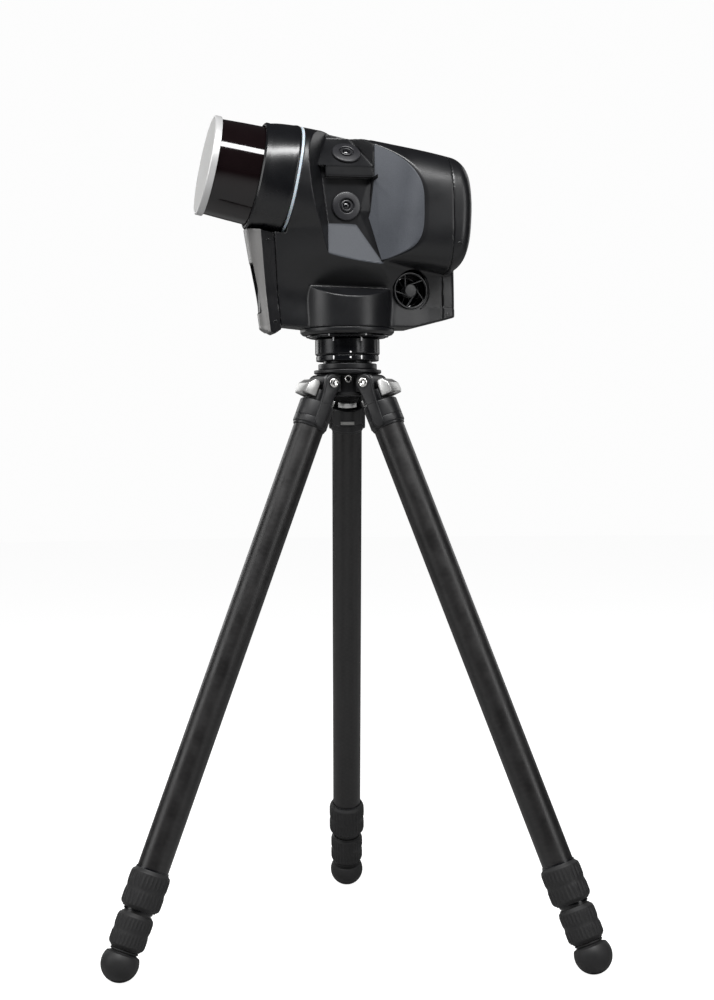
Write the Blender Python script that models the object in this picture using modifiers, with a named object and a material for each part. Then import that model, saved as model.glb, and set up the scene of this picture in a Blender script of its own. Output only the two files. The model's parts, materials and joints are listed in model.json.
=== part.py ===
"""A terrestrial laser scanner: tilted lidar head, pan turret, quick-release and three-leg telescopic tripod.

Sizes are in millimetres here and become metres where a mesh or a place is made. The head points to -X and
+Z is up. The tripod axis is vertical; every head dimension is measured from it, rearward as x and sideways as y.
Along the lidar axis, s runs rearward from the cap's face and t is the height above the axis, square to it.
"""

import math

import bmesh
import bpy
from mathutils import Matrix, Vector

MM = 0.001
GAP = 0.3
SOLVER = "MANIFOLD"  # EXACT leaves open meshes in the head's long chain of cuts

# Where the tripod axis stands, so that the origin is the middle of the whole object's footprint.
AXIS_X = 21.9
AXIS_Y = -40.5

# Tripod
LEG_AZIMUTHS = {"rear": 79.55, "left": 199.55, "right": 319.55}
LEG_TILT = 22.852
HINGE_R = 25.58
HINGE_Z = 530.0
FOOT_CENTRE = 557.2
FOOT_R = 17.2
UPPER_TUBE_R = 14.35
MIDDLE_TUBE_R = 12.5
LOWER_TUBE_R = 10.8
TUBE_WALL = 1.5
UPPER_LOCK = (473.1, 508.4)
LOWER_LOCK = (512.4, 544.4)
LUG_HALF = 12.0
CHEEK_OUTER = 17.4
TUBE_SIDES = 16
LOCK_SIDES = 18

# Stack between the tripod and the head, as (radius, bottom, top)
SPIDER_FLANGE = (31.7, 539.2, 542.4)
TOP_PLATE = (27.6, 542.7, 548.3)
LOWER_RING = (29.5, 550.8, 556.0)
CLAMP_RING = (30.4, 556.3, 572.2)
ADAPTER_DISC = (38.9, 572.5, 574.9)
TURRET_RIM = (44.3, 575.2, 581.0)
SPIGOT_R = 16.0
RING_SIDES = 28

# Head
LIDAR_TILT = 11.3
CAP_X = -133.6
CAP_Z = 732.7
CAP_R = 46.5
TURRET_R = 44.3
TURRET_LIP_Z = 609.5
SEAM_X = 88.4
SHELL = 3.0
BARREL_START = 81.2
BARREL_SIDES = 32
HEAD_SIDES = 36
LENS_R = 13.3
FAN_CENTRE = (56.2, 616.0)
FAN_WALL_TURN = 11.3
FAN_PORT_R = 17.7
GEAR_TEETH = 24
PINION_TEETH = 8
GEAR_PITCH_R = 21.0


def clear_scene():
    for item in list(bpy.data.objects):
        bpy.data.objects.remove(item, do_unlink=True)


def collection(name):
    made = bpy.data.collections.new(name)
    bpy.context.scene.collection.children.link(made)
    return made


def material(name, colour, roughness, metallic=0.0):
    made = bpy.data.materials.new(name)
    made.use_nodes = True
    shader = made.node_tree.nodes["Principled BSDF"]
    shader.inputs["Base Color"].default_value = (*colour, 1.0)
    shader.inputs["Roughness"].default_value = roughness
    shader.inputs["Metallic"].default_value = metallic
    return made


clear_scene()
PARTS = collection("laser_scanner")
CUTTERS = collection("cutters")
BLACK = material("satin_black", (0.012, 0.013, 0.015), 0.42)
GREY = material("textured_grey", (0.065, 0.070, 0.080), 0.62)
COVER = material("front_cover_grey", (0.18, 0.18, 0.18), 0.35, 0.4)
SILVER = material("satin_silver", (0.60, 0.60, 0.59), 0.30, 1.0)
STEEL = material("polished_steel", (0.65, 0.65, 0.64), 0.18, 1.0)
TINTED = material("tinted_window", (0.010, 0.006, 0.007), 0.05)
LIGHT = material("status_light", (0.45, 0.50, 0.56), 0.40)
ANODISED = material("black_anodised", (0.016, 0.016, 0.018), 0.32, 0.6)
CARBON = material("carbon_tube", (0.030, 0.028, 0.028), 0.48)
RUBBER = material("rubber", (0.013, 0.013, 0.014), 0.75)
BOARD = material("circuit_board", (0.02, 0.16, 0.07), 0.55)
CELL = material("battery_case", (0.05, 0.05, 0.06), 0.60)


def place(x=0.0, y=0.0, z=0.0):
    return Matrix.Translation((x * MM, y * MM, z * MM))


def turn(angle, axis):
    return Matrix.Rotation(math.radians(angle), 4, axis)


TRIPOD_AXIS = place(AXIS_X, AXIS_Y, 0)
LIDAR_AXIS = TRIPOD_AXIS @ place(CAP_X, 0, CAP_Z) @ turn(LIDAR_TILT - 90, "Y")


def add(name, mesh, look, matrix=None, cutter=False):
    """One object in its collection. A cutter is drawn as wire and left out of renders."""
    made = bpy.data.objects.new(name, mesh)
    (CUTTERS if cutter else PARTS).objects.link(made)
    if look:
        mesh.materials.append(look)
    made.matrix_world = matrix or Matrix.Identity(4)
    if cutter:
        made.hide_render = True
        made.display_type = "WIRE"
    return made


def smooth(mesh):
    mesh.shade_smooth()
    mesh.set_sharp_from_angle(angle=math.radians(32))


def mesh_from(name, bm):
    bmesh.ops.recalc_face_normals(bm, faces=bm.faces)
    mesh = bpy.data.meshes.new(name)
    bm.to_mesh(mesh)
    bm.free()
    return mesh


def turned(name, profile, look, matrix, sides=RING_SIDES, cutter=False):
    """A profile of (radius, z) points turned about Z. It runs down the outer side; a ring's profile is closed."""
    ring = profile[0][0] > 0 or profile[-1][0] > 0
    mesh = bpy.data.meshes.new(name)
    count = len(profile)
    edges = [(i, i + 1) for i in range(count - 1)] + ([(count - 1, 0)] if ring else [])
    mesh.from_pydata([(r * MM, 0, z * MM) for r, z in profile], edges, [])
    made = add(name, mesh, look, matrix, cutter)
    screw = made.modifiers.new("Screw", "SCREW")
    screw.steps = screw.render_steps = sides
    screw.use_merge_vertices = True
    screw.merge_threshold = 0.00001
    screw.use_smooth_shade = False
    return made


def box(name, low, high, look=None, matrix=None, cutter=False):
    bm = bmesh.new()
    bmesh.ops.create_cube(bm, size=1)
    size = [(b - a) * MM for a, b in zip(low, high)]
    middle = [(a + b) / 2 * MM for a, b in zip(low, high)]
    bmesh.ops.transform(bm, matrix=Matrix.Translation(middle) @ Matrix.Diagonal((*size, 1)), verts=bm.verts)
    return add(name, mesh_from(name, bm), look, matrix, cutter)


def rod(name, radius, low, high, look=None, matrix=None, sides=24, cutter=False):
    bm = bmesh.new()
    bmesh.ops.create_cone(
        bm, cap_ends=True, segments=sides, radius1=radius * MM, radius2=radius * MM, depth=(high - low) * MM
    )
    bmesh.ops.translate(bm, vec=(0, 0, (low + high) / 2 * MM), verts=bm.verts)
    return add(name, mesh_from(name, bm), look, matrix, cutter)


def hull(name, points, look=None, matrix=None, cutter=False):
    bm = bmesh.new()
    for point in points:
        bm.verts.new(Vector(point) * MM)
    made = bmesh.ops.convex_hull(bm, input=bm.verts)
    spare = [v for v in made["geom_interior"] if isinstance(v, bmesh.types.BMVert)]
    bmesh.ops.delete(bm, geom=spare, context="VERTS")
    return add(name, mesh_from(name, bm), look, matrix, cutter)


def loft(name, rings, look=None, matrix=None, cutter=False):
    """A closed body through rings of equally many points."""
    bm = bmesh.new()
    loops = [[bm.verts.new(Vector(point) * MM) for point in ring] for ring in rings]
    count = len(loops[0])
    for lower, upper in zip(loops, loops[1:]):
        for i in range(count):
            j = (i + 1) % count
            bm.faces.new((lower[i], lower[j], upper[j], upper[i]))
    bm.faces.new(loops[0][::-1])
    bm.faces.new(loops[-1])
    return add(name, mesh_from(name, bm), look, matrix, cutter)


def outline_plate(name, outline, low, high, look=None, matrix=None, cutter=False):
    """A flat outline, filled and given its thickness by a 2D curve, then made a mesh."""
    data = bpy.data.curves.new(name, "CURVE")
    data.dimensions = "2D"
    data.fill_mode = "BOTH"
    data.extrude = (high - low) / 2 * MM
    spline = data.splines.new("POLY")
    spline.points.add(len(outline) - 1)
    for point, (x, y) in zip(spline.points, outline):
        point.co = (x * MM, y * MM, 0, 1)
    spline.use_cyclic_u = True
    guide = bpy.data.objects.new(name + "_outline", data)
    CUTTERS.objects.link(guide)
    bpy.context.view_layer.update()
    mesh = bpy.data.meshes.new_from_object(guide.evaluated_get(bpy.context.evaluated_depsgraph_get()))
    bpy.data.objects.remove(guide, do_unlink=True)
    bm = bmesh.new()
    bm.from_mesh(mesh)
    bmesh.ops.remove_doubles(bm, verts=bm.verts, dist=0.000001)
    bmesh.ops.translate(bm, vec=(0, 0, (low + high) / 2 * MM), verts=bm.verts)
    bpy.data.meshes.remove(mesh)
    return add(name, mesh_from(name, bm), look, matrix, cutter)


def combine(target, other, operation):
    step = target.modifiers.new(other.name, "BOOLEAN")
    step.operation = operation
    step.solver = SOLVER
    step.object = other


def cut(target, *cutters):
    for cutter in cutters:
        combine(target, cutter, "DIFFERENCE")


def join(target, *others):
    for other in others:
        combine(target, other, "UNION")


def keep_within(target, *others):
    for other in others:
        combine(target, other, "INTERSECT")


# ---------------------------------------------------------------- tripod


def lock_profile(outer, inner, top, bottom):
    """A twist collar's half section with chamfered ends."""
    edge = 2.4
    return [
        (inner, -top), (outer - edge, -top), (outer, -top - edge), (outer, -bottom + edge),
        (outer - edge, -bottom), (inner, -bottom),
    ]


def tube(name, radius, top, bottom, matrix):
    inner = radius - TUBE_WALL
    return turned(
        name, [(radius, -top), (radius, -bottom), (inner, -bottom), (inner, -top)], CARBON, matrix, TUBE_SIDES
    )


def leg_yoke(side, hinge):
    """The casting at the top of a leg: two cheeks on the hinge bolt, and the socket that holds the tube."""
    name = f"leg_yoke_{side}"
    socket = turned(
        name,
        [(14.5, -18), (16.4, -21), (16.4, -43), (15.4, -45.7), (14.6, -45.7), (14.6, -26.6), (0, -26.6), (0, -18)],
        ANODISED,
        hinge,
        LOCK_SIDES,
    )
    cheek_line = [(8.8 * math.cos(math.radians(a)), 8.8 * math.sin(math.radians(a))) for a in range(0, 181, 20)]
    cheek_line += [(-10.5, -24), (10.5, -24)]
    across = turn(90, "X")
    for word, low in (("near", LUG_HALF + GAP), ("far", -CHEEK_OUTER)):
        cheek = outline_plate(
            f"cheek_{word}_{side}", cheek_line, low, low + CHEEK_OUTER - LUG_HALF - GAP, None, hinge @ across, True
        )
        join(socket, cheek)
    cut(socket, rod(f"bolt_way_{side}", 3.4, -20, 20, None, hinge @ across, 12, True))
    return socket


def foot(side, hinge):
    """A rubber foot: a neck, a ball and a small sole that is level when the leg stands at its angle."""
    name = f"foot_{side}"
    ball = [
        (FOOT_R * math.cos(math.radians(a)), -FOOT_CENTRE + FOOT_R * math.sin(math.radians(a)))
        for a in range(30, -90, -20)
    ]
    profile = [(0, -544.9), (11.6, -544.9), (11.6, -547.6), (14.2, -548.6)] + ball + [(0, -FOOT_CENTRE - FOOT_R)]
    made = turned(name, profile, RUBBER, hinge, LOCK_SIDES)
    floor = hinge @ place(0, 0, -FOOT_CENTRE)
    level = Matrix.Translation((floor.translation.x, floor.translation.y, 0))
    cut(made, box(f"sole_{side}", (-40, -40, -40), (40, 40, 0), None, level, True))
    return made


def build_leg(side, azimuth):
    hinge = TRIPOD_AXIS @ turn(azimuth, "Z") @ place(HINGE_R, 0, HINGE_Z) @ turn(-LEG_TILT, "Y")
    leg_yoke(side, hinge)
    turned(
        f"hinge_bolt_{side}",
        [(0, 19.9), (4.3, 19.6), (4.3, 17.7), (3.0, 17.7), (3.0, -17.7), (4.3, -17.7), (4.3, -19.6), (0, -19.9)],
        STEEL,
        hinge @ turn(90, "X"),
        12,
    )
    tab = hull(
        f"angle_tab_{side}",
        [(x, y, z) for x, z in ((9.7, -17.2), (9.7, -4.5), (13.0, -2.5), (20.5, -15.5), (20.5, -17.2))
         for y in (-11, 11)],
        SILVER,
        hinge,
    )
    bevel = tab.modifiers.new("Bevel", "BEVEL")
    bevel.width = 1.2 * MM
    bevel.segments = 1
    tube(f"upper_tube_{side}", UPPER_TUBE_R, 27, 500, hinge)
    turned(f"upper_lock_{side}", lock_profile(18.3, 14.9, *UPPER_LOCK), RUBBER, hinge, LOCK_SIDES)
    tube(f"middle_tube_{side}", MIDDLE_TUBE_R, 40, 536, hinge)
    turned(f"lower_lock_{side}", lock_profile(16.7, 13.0, *LOWER_LOCK), RUBBER, hinge, LOCK_SIDES)
    tube(f"lower_tube_{side}", LOWER_TUBE_R, 52, 544.6, hinge)
    foot(side, hinge)


def build_spider():
    """The crown casting: a hub with a lug for each leg and a round flange above them."""
    radius, low, high = SPIDER_FLANGE
    hub = turned(
        "spider",
        [(0, high), (radius, high), (radius, low), (24.0, low - 0.8), (19.0, low - 2.2), (19.0, 521),
         (17.0, 518), (0, 518)],
        ANODISED,
        TRIPOD_AXIS,
    )
    for side, azimuth in LEG_AZIMUTHS.items():
        hinge = TRIPOD_AXIS @ turn(azimuth, "Z") @ place(HINGE_R, 0, HINGE_Z) @ turn(90, "X")
        knuckle = rod(f"knuckle_{side}", 8.4, -LUG_HALF, LUG_HALF, None, hinge, 18, True)
        arm = box(f"arm_{side}", (-19, -8.3, -LUG_HALF), (0, 10, LUG_HALF), None, hinge, True)
        join(hub, knuckle, arm)
    for side, azimuth in LEG_AZIMUTHS.items():
        hinge = TRIPOD_AXIS @ turn(azimuth, "Z") @ place(HINGE_R, 0, HINGE_Z) @ turn(90, "X")
        cut(hub, rod(f"knuckle_bore_{side}", 3.4, -40, 40, None, hinge, 12, True))


def build_stack():
    """The top plate, the quick-release and the fixed half of the pan bearing."""
    radius, low, high = TOP_PLATE
    turned("top_plate", [(0, high), (radius, high), (radius, low), (0, low)], ANODISED, TRIPOD_AXIS)
    front = TRIPOD_AXIS @ turn(259.5, "Z") @ place(0, 0, 533.2) @ turn(90, "Y")
    plug = [(0, 22.8), (1.6, 22.8), (3.5, 22.4), (3.5, 19.3), (0, 19.3)]
    turned("front_plug", plug, STEEL, front, 16)
    radius, low, high = LOWER_RING
    turned(
        "quick_release_base",
        [(0, 569), (15.6, 569), (15.6, high + GAP), (21.5, high), (radius, high), (radius, low), (22.9, low),
         (22.9, TOP_PLATE[2] + GAP), (0, TOP_PLATE[2] + GAP)],
        ANODISED,
        TRIPOD_AXIS,
    )
    radius, low, high = CLAMP_RING
    turned(
        "clamp_ring",
        [(16.2, high), (radius - 0.8, high), (radius, high - 0.8), (radius, low + 0.8), (radius - 0.8, low),
         (16.2, low)],
        ANODISED,
        TRIPOD_AXIS,
    )
    radius, low, high = ADAPTER_DISC
    turned(
        "head_adapter",
        [(0, 601), (SPIGOT_R, 601), (SPIGOT_R, high + 1), (21.5, high), (radius, high), (radius, high - 1.4),
         (36.0, low + 0.6), (36.0, low), (0, low)],
        ANODISED,
        TRIPOD_AXIS,
    )
    turned("bearing_inner_race", [(16.4, 586), (19.8, 586), (19.8, 577), (16.4, 577)], STEEL, TRIPOD_AXIS, 32)
    turned("bearing_outer_race", [(20.4, 586), (24.0, 586), (24.0, 577), (20.4, 577)], STEEL, TRIPOD_AXIS, 32)


def gear_outline(teeth, pitch_radius):
    """Trapezoid teeth, narrower than their gaps, so that a meshing pair keeps backlash."""
    module = 2 * pitch_radius / teeth
    points = []
    for tooth in range(teeth):
        for share, height in ((-0.25, -1.0), (-0.11, 0.8), (0.11, 0.8), (0.25, -1.0)):
            angle = 2 * math.pi * (tooth + share) / teeth
            radius = pitch_radius + height * module * 0.9
            points.append((radius * math.cos(angle), radius * math.sin(angle)))
    return points


def build_pan_drive():
    wheel = outline_plate("pan_ring_gear", gear_outline(GEAR_TEETH, GEAR_PITCH_R), 588, 593, STEEL, TRIPOD_AXIS)
    cut(wheel, rod("gear_bore", SPIGOT_R + 0.4, 580, 600, None, TRIPOD_AXIS, 32, True))
    pinion_r = GEAR_PITCH_R * PINION_TEETH / GEAR_TEETH
    beside = TRIPOD_AXIS @ place(GEAR_PITCH_R + pinion_r + 0.35, 0, 0)
    half_tooth = turn(180 / PINION_TEETH, "Z")
    pinion = outline_plate(
        "pan_pinion", gear_outline(PINION_TEETH, pinion_r), 588, 593, STEEL, beside @ half_tooth
    )
    join(pinion, rod("pinion_shaft", 2.2, 592, 606, None, beside, 12, True))
    turned(
        "pan_motor",
        [(0, 628), (10.0, 628), (10.0, 596), (2.9, 596), (2.9, 608), (0, 608)],
        BLACK,
        beside,
        20,
    )


# ---------------------------------------------------------------- head


def rounded_section(half_width, half_height, power, s, sides=BARREL_SIDES):
    """A ring of points on a superellipse, square to the lidar axis at the distance s."""
    ring = []
    for i in range(sides):
        angle = 2 * math.pi * i / sides
        c, d = math.cos(angle), math.sin(angle)
        ring.append((
            half_height * math.copysign(abs(c) ** (2 / power), c),
            half_width * math.copysign(abs(d) ** (2 / power), d),
            -s,
        ))
    return ring


# Outer half width, half height and squareness along s
BARREL = ((81.2, 57.5, 52.2, 2.45), (106, 61.5, 51.6, 2.7), (150, 63.5, 52.6, 2.8), (206, 63.5, 53.8, 2.8),
          (232, 60.5, 52.8, 2.8), (247, 54.0, 47.5, 2.8), (255, 42.0, 36.0, 2.6))
# At each height: nose reach, nose half width, crease place, crease half width
KEEL = ((583.5, 84.5, 14.5, 38, 27), (617, 89.0, 15.0, 38, 27), (639, 92.0, 19.5, 23, 45.5),
        (655, 94.3, 26, 12, 53), (672, 90.0, 30, 5, 57))
KEEL_REAR = 101.3
KEEL_REAR_HALF = 15.5


def barrel(name, inset, start, cutter):
    stations = [(max(s, start) if i == 0 else s - inset * (i > 4), a - inset, b - inset, n)
                for i, (s, a, b, n) in enumerate(BARREL)]
    return loft(name, [rounded_section(a, b, n, s) for s, a, b, n in stations], BLACK, LIDAR_AXIS, cutter)


def keel_ring(z, reach, nose, crease_x, crease, inset):
    """The plan of the lower body at one height, rounded at the nose and at the rear."""
    back = -reach + nose * 0.62
    inner = nose - inset
    half = [(inset - reach, 0.0), (inset - reach + 1.2, inner * 0.42), (back - 4 + inset * 0.6, inner * 0.8),
            (back + 4, inner), (crease_x, crease - inset), (KEEL_REAR - 3, KEEL_REAR_HALF - inset),
            (KEEL_REAR - inset, KEEL_REAR_HALF - 3 - inset)]
    mirrored = [(x, -y) for x, y in half[:0:-1]]
    return [(x, y, z) for x, y in half + mirrored]


def keel(name, inset, cutter):
    rings = [keel_ring(z + (inset if i == 0 else 0), *row, inset) for i, (z, *row) in enumerate(KEEL)]
    return loft(name, rings, BLACK, TRIPOD_AXIS, cutter)


def pocket(side, grow, word):
    """The camera recess on one side (+1 or -1 in y), grown inward by grow. Two hulls: lower floor and upper floor."""
    floor, ridge = 36.0 - grow, 41.8 - grow
    front, left, right = -47.6 - grow, -26.5 - grow, 14.5 + grow
    rim = 16.0 + grow
    lower = [(front, 61, 728), (front - 4, 90, 728), (left, floor, 728), (right, floor, 728), (rim, ridge, 728),
             (rim, 90, 728), (left, floor, 676 - grow), (right - 8, floor, 676 - grow), (23 + grow, 46, 640 - grow),
             (23 + grow, 90, 640 - grow), (left - 3, 48.5, 646 - grow), (front + 4, 90, 646 - grow),
             (front + 4, 60, 660)]
    upper = [(front, 60, 727.5), (front - 4, 90, 727.5), (left, 43 - grow, 727.5), (rim, 43 - grow, 727.5),
             (rim, 90, 727.5), (left + 5, 16 - grow, 757), (rim + 4, 16 - grow, 757), (left + 5, 16 - grow, 790),
             (rim + 4, 16 - grow, 790), (rim, 90, 790), (front - 4, 90, 790), (front + 18, 22, 790)]
    made = []
    for part, points in (("lower", lower), ("upper", upper)):
        made.append(hull(f"pocket_{part}_{word}", [(x, side * y, z) for x, y, z in points], None, TRIPOD_AXIS, True))
    return made


def flank(side, grow, word):
    """The flat D-shaped facet's cutter behind the recess: it faces outward and a little forward."""
    plan = [(15.0, 41.4 - grow), (80.0, 70.0 - grow), (80.0, 95.0), (15.0, 95.0)]
    points = [(x, side * y, z) for x, y in plan for z in (636, 790)]
    return hull(f"flank_{word}", points, None, TRIPOD_AXIS, True)


def front_plane(name, shift, front):
    """A block whose rear or front face is the leaning seam between the front cover and the housing."""
    low, high = -65.8 + shift, -73.8 + shift
    far = -200 if front else 200
    points = [(x, y, z) for y in (-120, 120)
              for x, z in ((low + 1.86, 564), (high - 2.79, 700), (far, 564), (far, 700))]
    return hull(name, points, None, TRIPOD_AXIS, True)


def fan_place(side):
    """The middle of the fan opening, with local Z out through the turned side wall."""
    x, z = FAN_CENTRE
    wall_y = 27 - (x - 38) * math.tan(math.radians(FAN_WALL_TURN)) * 0.96
    outward = turn(-side * 90, "X") @ turn(FAN_WALL_TURN, "Y")
    return TRIPOD_AXIS @ place(x, side * wall_y, z) @ outward


def camera_places(side):
    """Where the two camera modules sit on one side, with local Z out of the lens."""
    lower = TRIPOD_AXIS @ place(-7.5, side * (36.0 + GAP), 692) @ turn(-side * 90, "X")
    tilt = math.degrees(math.atan2(43 - 16, 757 - 727.5))
    upper = TRIPOD_AXIS @ place(-6.0, side * 31.2, 740.8) @ turn(-side * (90 - tilt), "X")
    return {"lower": lower, "upper": upper @ place(0, 0, GAP)}


def body_solid(name, cutter):
    """The whole outer form of the head behind the light ring, before it is split and hollowed."""
    body = barrel(name, 0.0, BARREL_START, cutter)
    join(body, keel(name + "_keel", 0.0, True))
    shoulder = [(0, 622), (18, 621), (TURRET_R, TURRET_LIP_Z), (TURRET_R, TURRET_RIM[2] + GAP), (0, TURRET_RIM[2] + GAP)]
    join(body, turned(name + "_turret", shoulder, None, TRIPOD_AXIS, HEAD_SIDES, True))
    ahead = [(x, y, -s) for x in (-50.8, 90) for y in (-90, 90) for s in (-40, BARREL_START)]
    cut(body, hull(name + "_ahead", ahead, None, LIDAR_AXIS, True))
    return body


def build_head_shells():
    cavity = barrel("cavity", SHELL, BARREL_START + 2.8, True)
    join(cavity, keel("cavity_keel", 2.5, True))
    for side, word in ((-1, "left"), (1, "right")):
        cut(cavity, *pocket(side, SHELL, word + "_wall"), flank(side, SHELL, word + "_wall"))
    bore = turned("turret_bore", [(0, 606), (41.3, 606), (41.3, 560), (0, 560)], None, TRIPOD_AXIS, HEAD_SIDES, True)
    recesses = [part for side, word in ((-1, "left"), (1, "right"))
                for part in (*pocket(side, 0, word), flank(side, 0, word))]
    ports = [rod(f"port_{word}", FAN_PORT_R, -9, 20, None, fan_place(side), 24, True)
             for side, word in ((-1, "left"), (1, "right"))]
    lens_ways = [rod(f"lens_way_{level}_{word}", 6.4, -12, 10, None, matrix, 16, True)
                 for side, word in ((-1, "left"), (1, "right")) for level, matrix in camera_places(side).items()]
    for side, word in ((-1, "left"), (1, "right")):
        half = body_solid(f"housing_{word}", False)
        keep = box(f"half_{word}", (-200, GAP / 2, 500), (SEAM_X, 200, 900), None, TRIPOD_AXIS, True)
        if side < 0:
            keep.data.transform(Matrix.Diagonal((1, -1, 1, 1)))
            keep.data.flip_normals()
        keep_within(half, keep)
        cut(half, front_plane(f"front_of_{word}", GAP, True), cavity, bore)
        cut(half, *[item for item in recesses if word in item.name])
        cut(half, *[item for item in ports + lens_ways if word in item.name])
    rear = body_solid("rear_cover", False)
    keep_within(rear, box("rear_part", (SEAM_X + GAP, -200, 500), (300, 200, 900), None, TRIPOD_AXIS, True))
    cut(rear, cavity)
    nose = keel("front_cover", 0.0, False)
    nose.data.materials.clear()
    nose.data.materials.append(COVER)
    ahead = [(x, y, -s) for x in (-50.8, 90) for y in (-90, 90) for s in (-40, BARREL_START)]
    cut(nose, hull("above_nose", ahead, None, LIDAR_AXIS, True), front_plane("behind_nose", 0.0, False))
    hollow = keel("nose_hollow", 2.5, True)
    cut(nose, hollow)
    slot = box("nose_slot", (-100, -3.2, 595.1), (-79.0, 3.2, 642.1), None, TRIPOD_AXIS, True)
    cut(nose, slot)


def build_side_panels():
    """Thin grey inserts that fill the cut which the housing leaves behind each recess."""
    for side, word in ((-1, "left"), (1, "right")):
        panel = barrel(f"side_panel_{word}", 0.6, BARREL_START, False)
        panel.data.materials.clear()
        panel.data.materials.append(GREY)
        plan = [(17.5, 42.9), (75.0, 68.2), (75.0, 69.9), (17.5, 44.6)]
        points = [(x, side * y, z) for x, y in plan for z in (644, 746)]
        keep_within(panel, hull(f"panel_slab_{word}", points, None, TRIPOD_AXIS, True))


def build_lidar():
    """The cap, the tinted window, its spinning core, the base, the collar round it and the light ring."""
    turned("lidar_cap", [(0, 0), (CAP_R - 1.4, 0), (CAP_R, -1.4), (CAP_R, -6.5), (41.0, -6.5), (41.0, -10), (0, -10)],
           SILVER, LIDAR_AXIS, HEAD_SIDES)
    turned("lidar_window", [(44.3, -6.8), (46.1, -47), (46.1, -50), (43.2, -50), (41.6, -6.8)], TINTED, LIDAR_AXIS, HEAD_SIDES)
    turned("lidar_rotor", [(0, -13), (34, -13), (36, -15), (36, -44), (34, -46), (4, -46), (4, -68), (0, -68)],
           BLACK, LIDAR_AXIS, 24)
    turned("lidar_base",
           [(0, -72), (4.6, -72), (4.6, -50.4), (45.0, -50.4), (46.0, -51.4), (46.0, -62), (30, -62),
            (30, -80.8), (0, -80.8)],
           BLACK, LIDAR_AXIS, HEAD_SIDES)
    stations = ((47, 49.4, 49.4, 2), (57, 52.0, 51.2, 2.15), (79, 57.2, 52.2, 2.42))
    collar = loft(
        "lidar_collar",
        [rounded_section(a, b, n, s) for s, a, b, n in stations],
        BLACK,
        LIDAR_AXIS,
    )
    bore = rod("collar_bore", 47.4, -90, -30, None, LIDAR_AXIS, HEAD_SIDES, True)
    below = [(x, y, z) for x in (-80, -50.4) for y in (-90, 90) for z in (-90, -30)]
    under = hull("collar_under", below, None, LIDAR_AXIS, True)
    cut(collar, bore, under)
    rims = [rounded_section(57.3, 52.2, 2.42, 79.3), rounded_section(57.5, 52.2, 2.44, 80.9)]
    ring = loft("light_ring", rims, LIGHT, LIDAR_AXIS)
    cut(ring, bore)


def build_cameras_and_fan():
    for side, word in ((-1, "left"), (1, "right")):
        for level, matrix in camera_places(side).items():
            turned(
                f"camera_{level}_{word}",
                [(0, 2.2), (5.0, 2.2), (6.0, 3.4), (LENS_R - 1, 2.4), (LENS_R, 1.4), (LENS_R, 0), (6.0, 0), (6.0, -9),
                 (0, -9)],
                BLACK,
                matrix,
                20,
            )
        rim = [(17.3, 0.4), (17.3, -1.8), (15.2, -1.8), (15.2, 0.4)]
        guard = turned(f"fan_guard_{word}", rim, BLACK, fan_place(side), 24)
        hub = rod(f"guard_hub_{word}", 6.8, -1.8, 0.2, None, fan_place(side), 16, True)
        join(guard, hub)
        for i in range(5):
            spoke = fan_place(side) @ turn(18 + 72 * i, "Z")
            join(guard, box(f"guard_strut_{word}_{i}", (2.0, 4.8, -1.6), (15.8, 6.2, 0.1), None, spoke, True))
    x, z = FAN_CENTRE
    fan_axis = TRIPOD_AXIS @ place(x, 0, z) @ turn(90, "X")
    blades = []
    for i in range(9):
        for share, radius in ((0.0, 5.5), (0.30, 12.8), (0.42, 12.8), (0.30, 5.5)):
            angle = 2 * math.pi * (i + share) / 9
            blades.append((radius * math.cos(angle), radius * math.sin(angle)))
    outline_plate("cooling_fan", blades, -8, 8, BLACK, fan_axis)


def build_inside():
    box("battery_pack", (-40, -28, -238), (-12, 28, -190), CELL, LIDAR_AXIS)
    box("main_board", (-9.0, -27, -185), (-7.4, 27, -95), BOARD, LIDAR_AXIS)
    rim_r, low, high = TURRET_RIM
    turned(
        "turret_floor",
        [(24.3, 585.5), (27.5, 585.5), (27.5, high), (rim_r - 0.6, high), (rim_r, high - 0.6), (rim_r, low + 2.2),
         (rim_r - 2.2, low), (24.3, low)],
        BLACK,
        TRIPOD_AXIS,
        HEAD_SIDES,
    )


for leg_side, leg_azimuth in LEG_AZIMUTHS.items():
    build_leg(leg_side, leg_azimuth)
build_spider()
build_stack()
build_pan_drive()
build_head_shells()
build_side_panels()
build_lidar()
build_cameras_and_fan()
build_inside()
for part in PARTS.objects:
    if part.data.polygons:
        smooth(part.data)
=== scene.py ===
import json
import math

import bmesh
import bpy
import numpy as np
from mathutils import Matrix, Vector


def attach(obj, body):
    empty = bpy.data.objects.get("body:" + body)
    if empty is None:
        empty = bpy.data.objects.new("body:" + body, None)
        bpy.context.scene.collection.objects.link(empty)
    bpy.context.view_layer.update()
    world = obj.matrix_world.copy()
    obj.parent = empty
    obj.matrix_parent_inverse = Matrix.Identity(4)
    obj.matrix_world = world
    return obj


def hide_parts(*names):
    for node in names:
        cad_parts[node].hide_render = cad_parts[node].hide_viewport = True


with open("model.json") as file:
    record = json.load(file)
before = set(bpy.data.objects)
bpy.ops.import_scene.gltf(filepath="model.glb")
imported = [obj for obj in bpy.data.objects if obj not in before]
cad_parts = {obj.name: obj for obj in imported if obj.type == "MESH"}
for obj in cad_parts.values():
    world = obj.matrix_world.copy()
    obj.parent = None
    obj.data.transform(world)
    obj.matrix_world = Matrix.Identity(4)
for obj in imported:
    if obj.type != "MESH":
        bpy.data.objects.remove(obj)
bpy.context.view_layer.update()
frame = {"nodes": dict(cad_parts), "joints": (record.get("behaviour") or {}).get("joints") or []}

MM = 0.001
GAP = 0.3
JOINTS = {joint["name"]: joint for joint in frame["joints"]}
SIDES = ("rear", "left", "right")
FLANKS = ((-1, "left"), (1, "right"))

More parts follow.
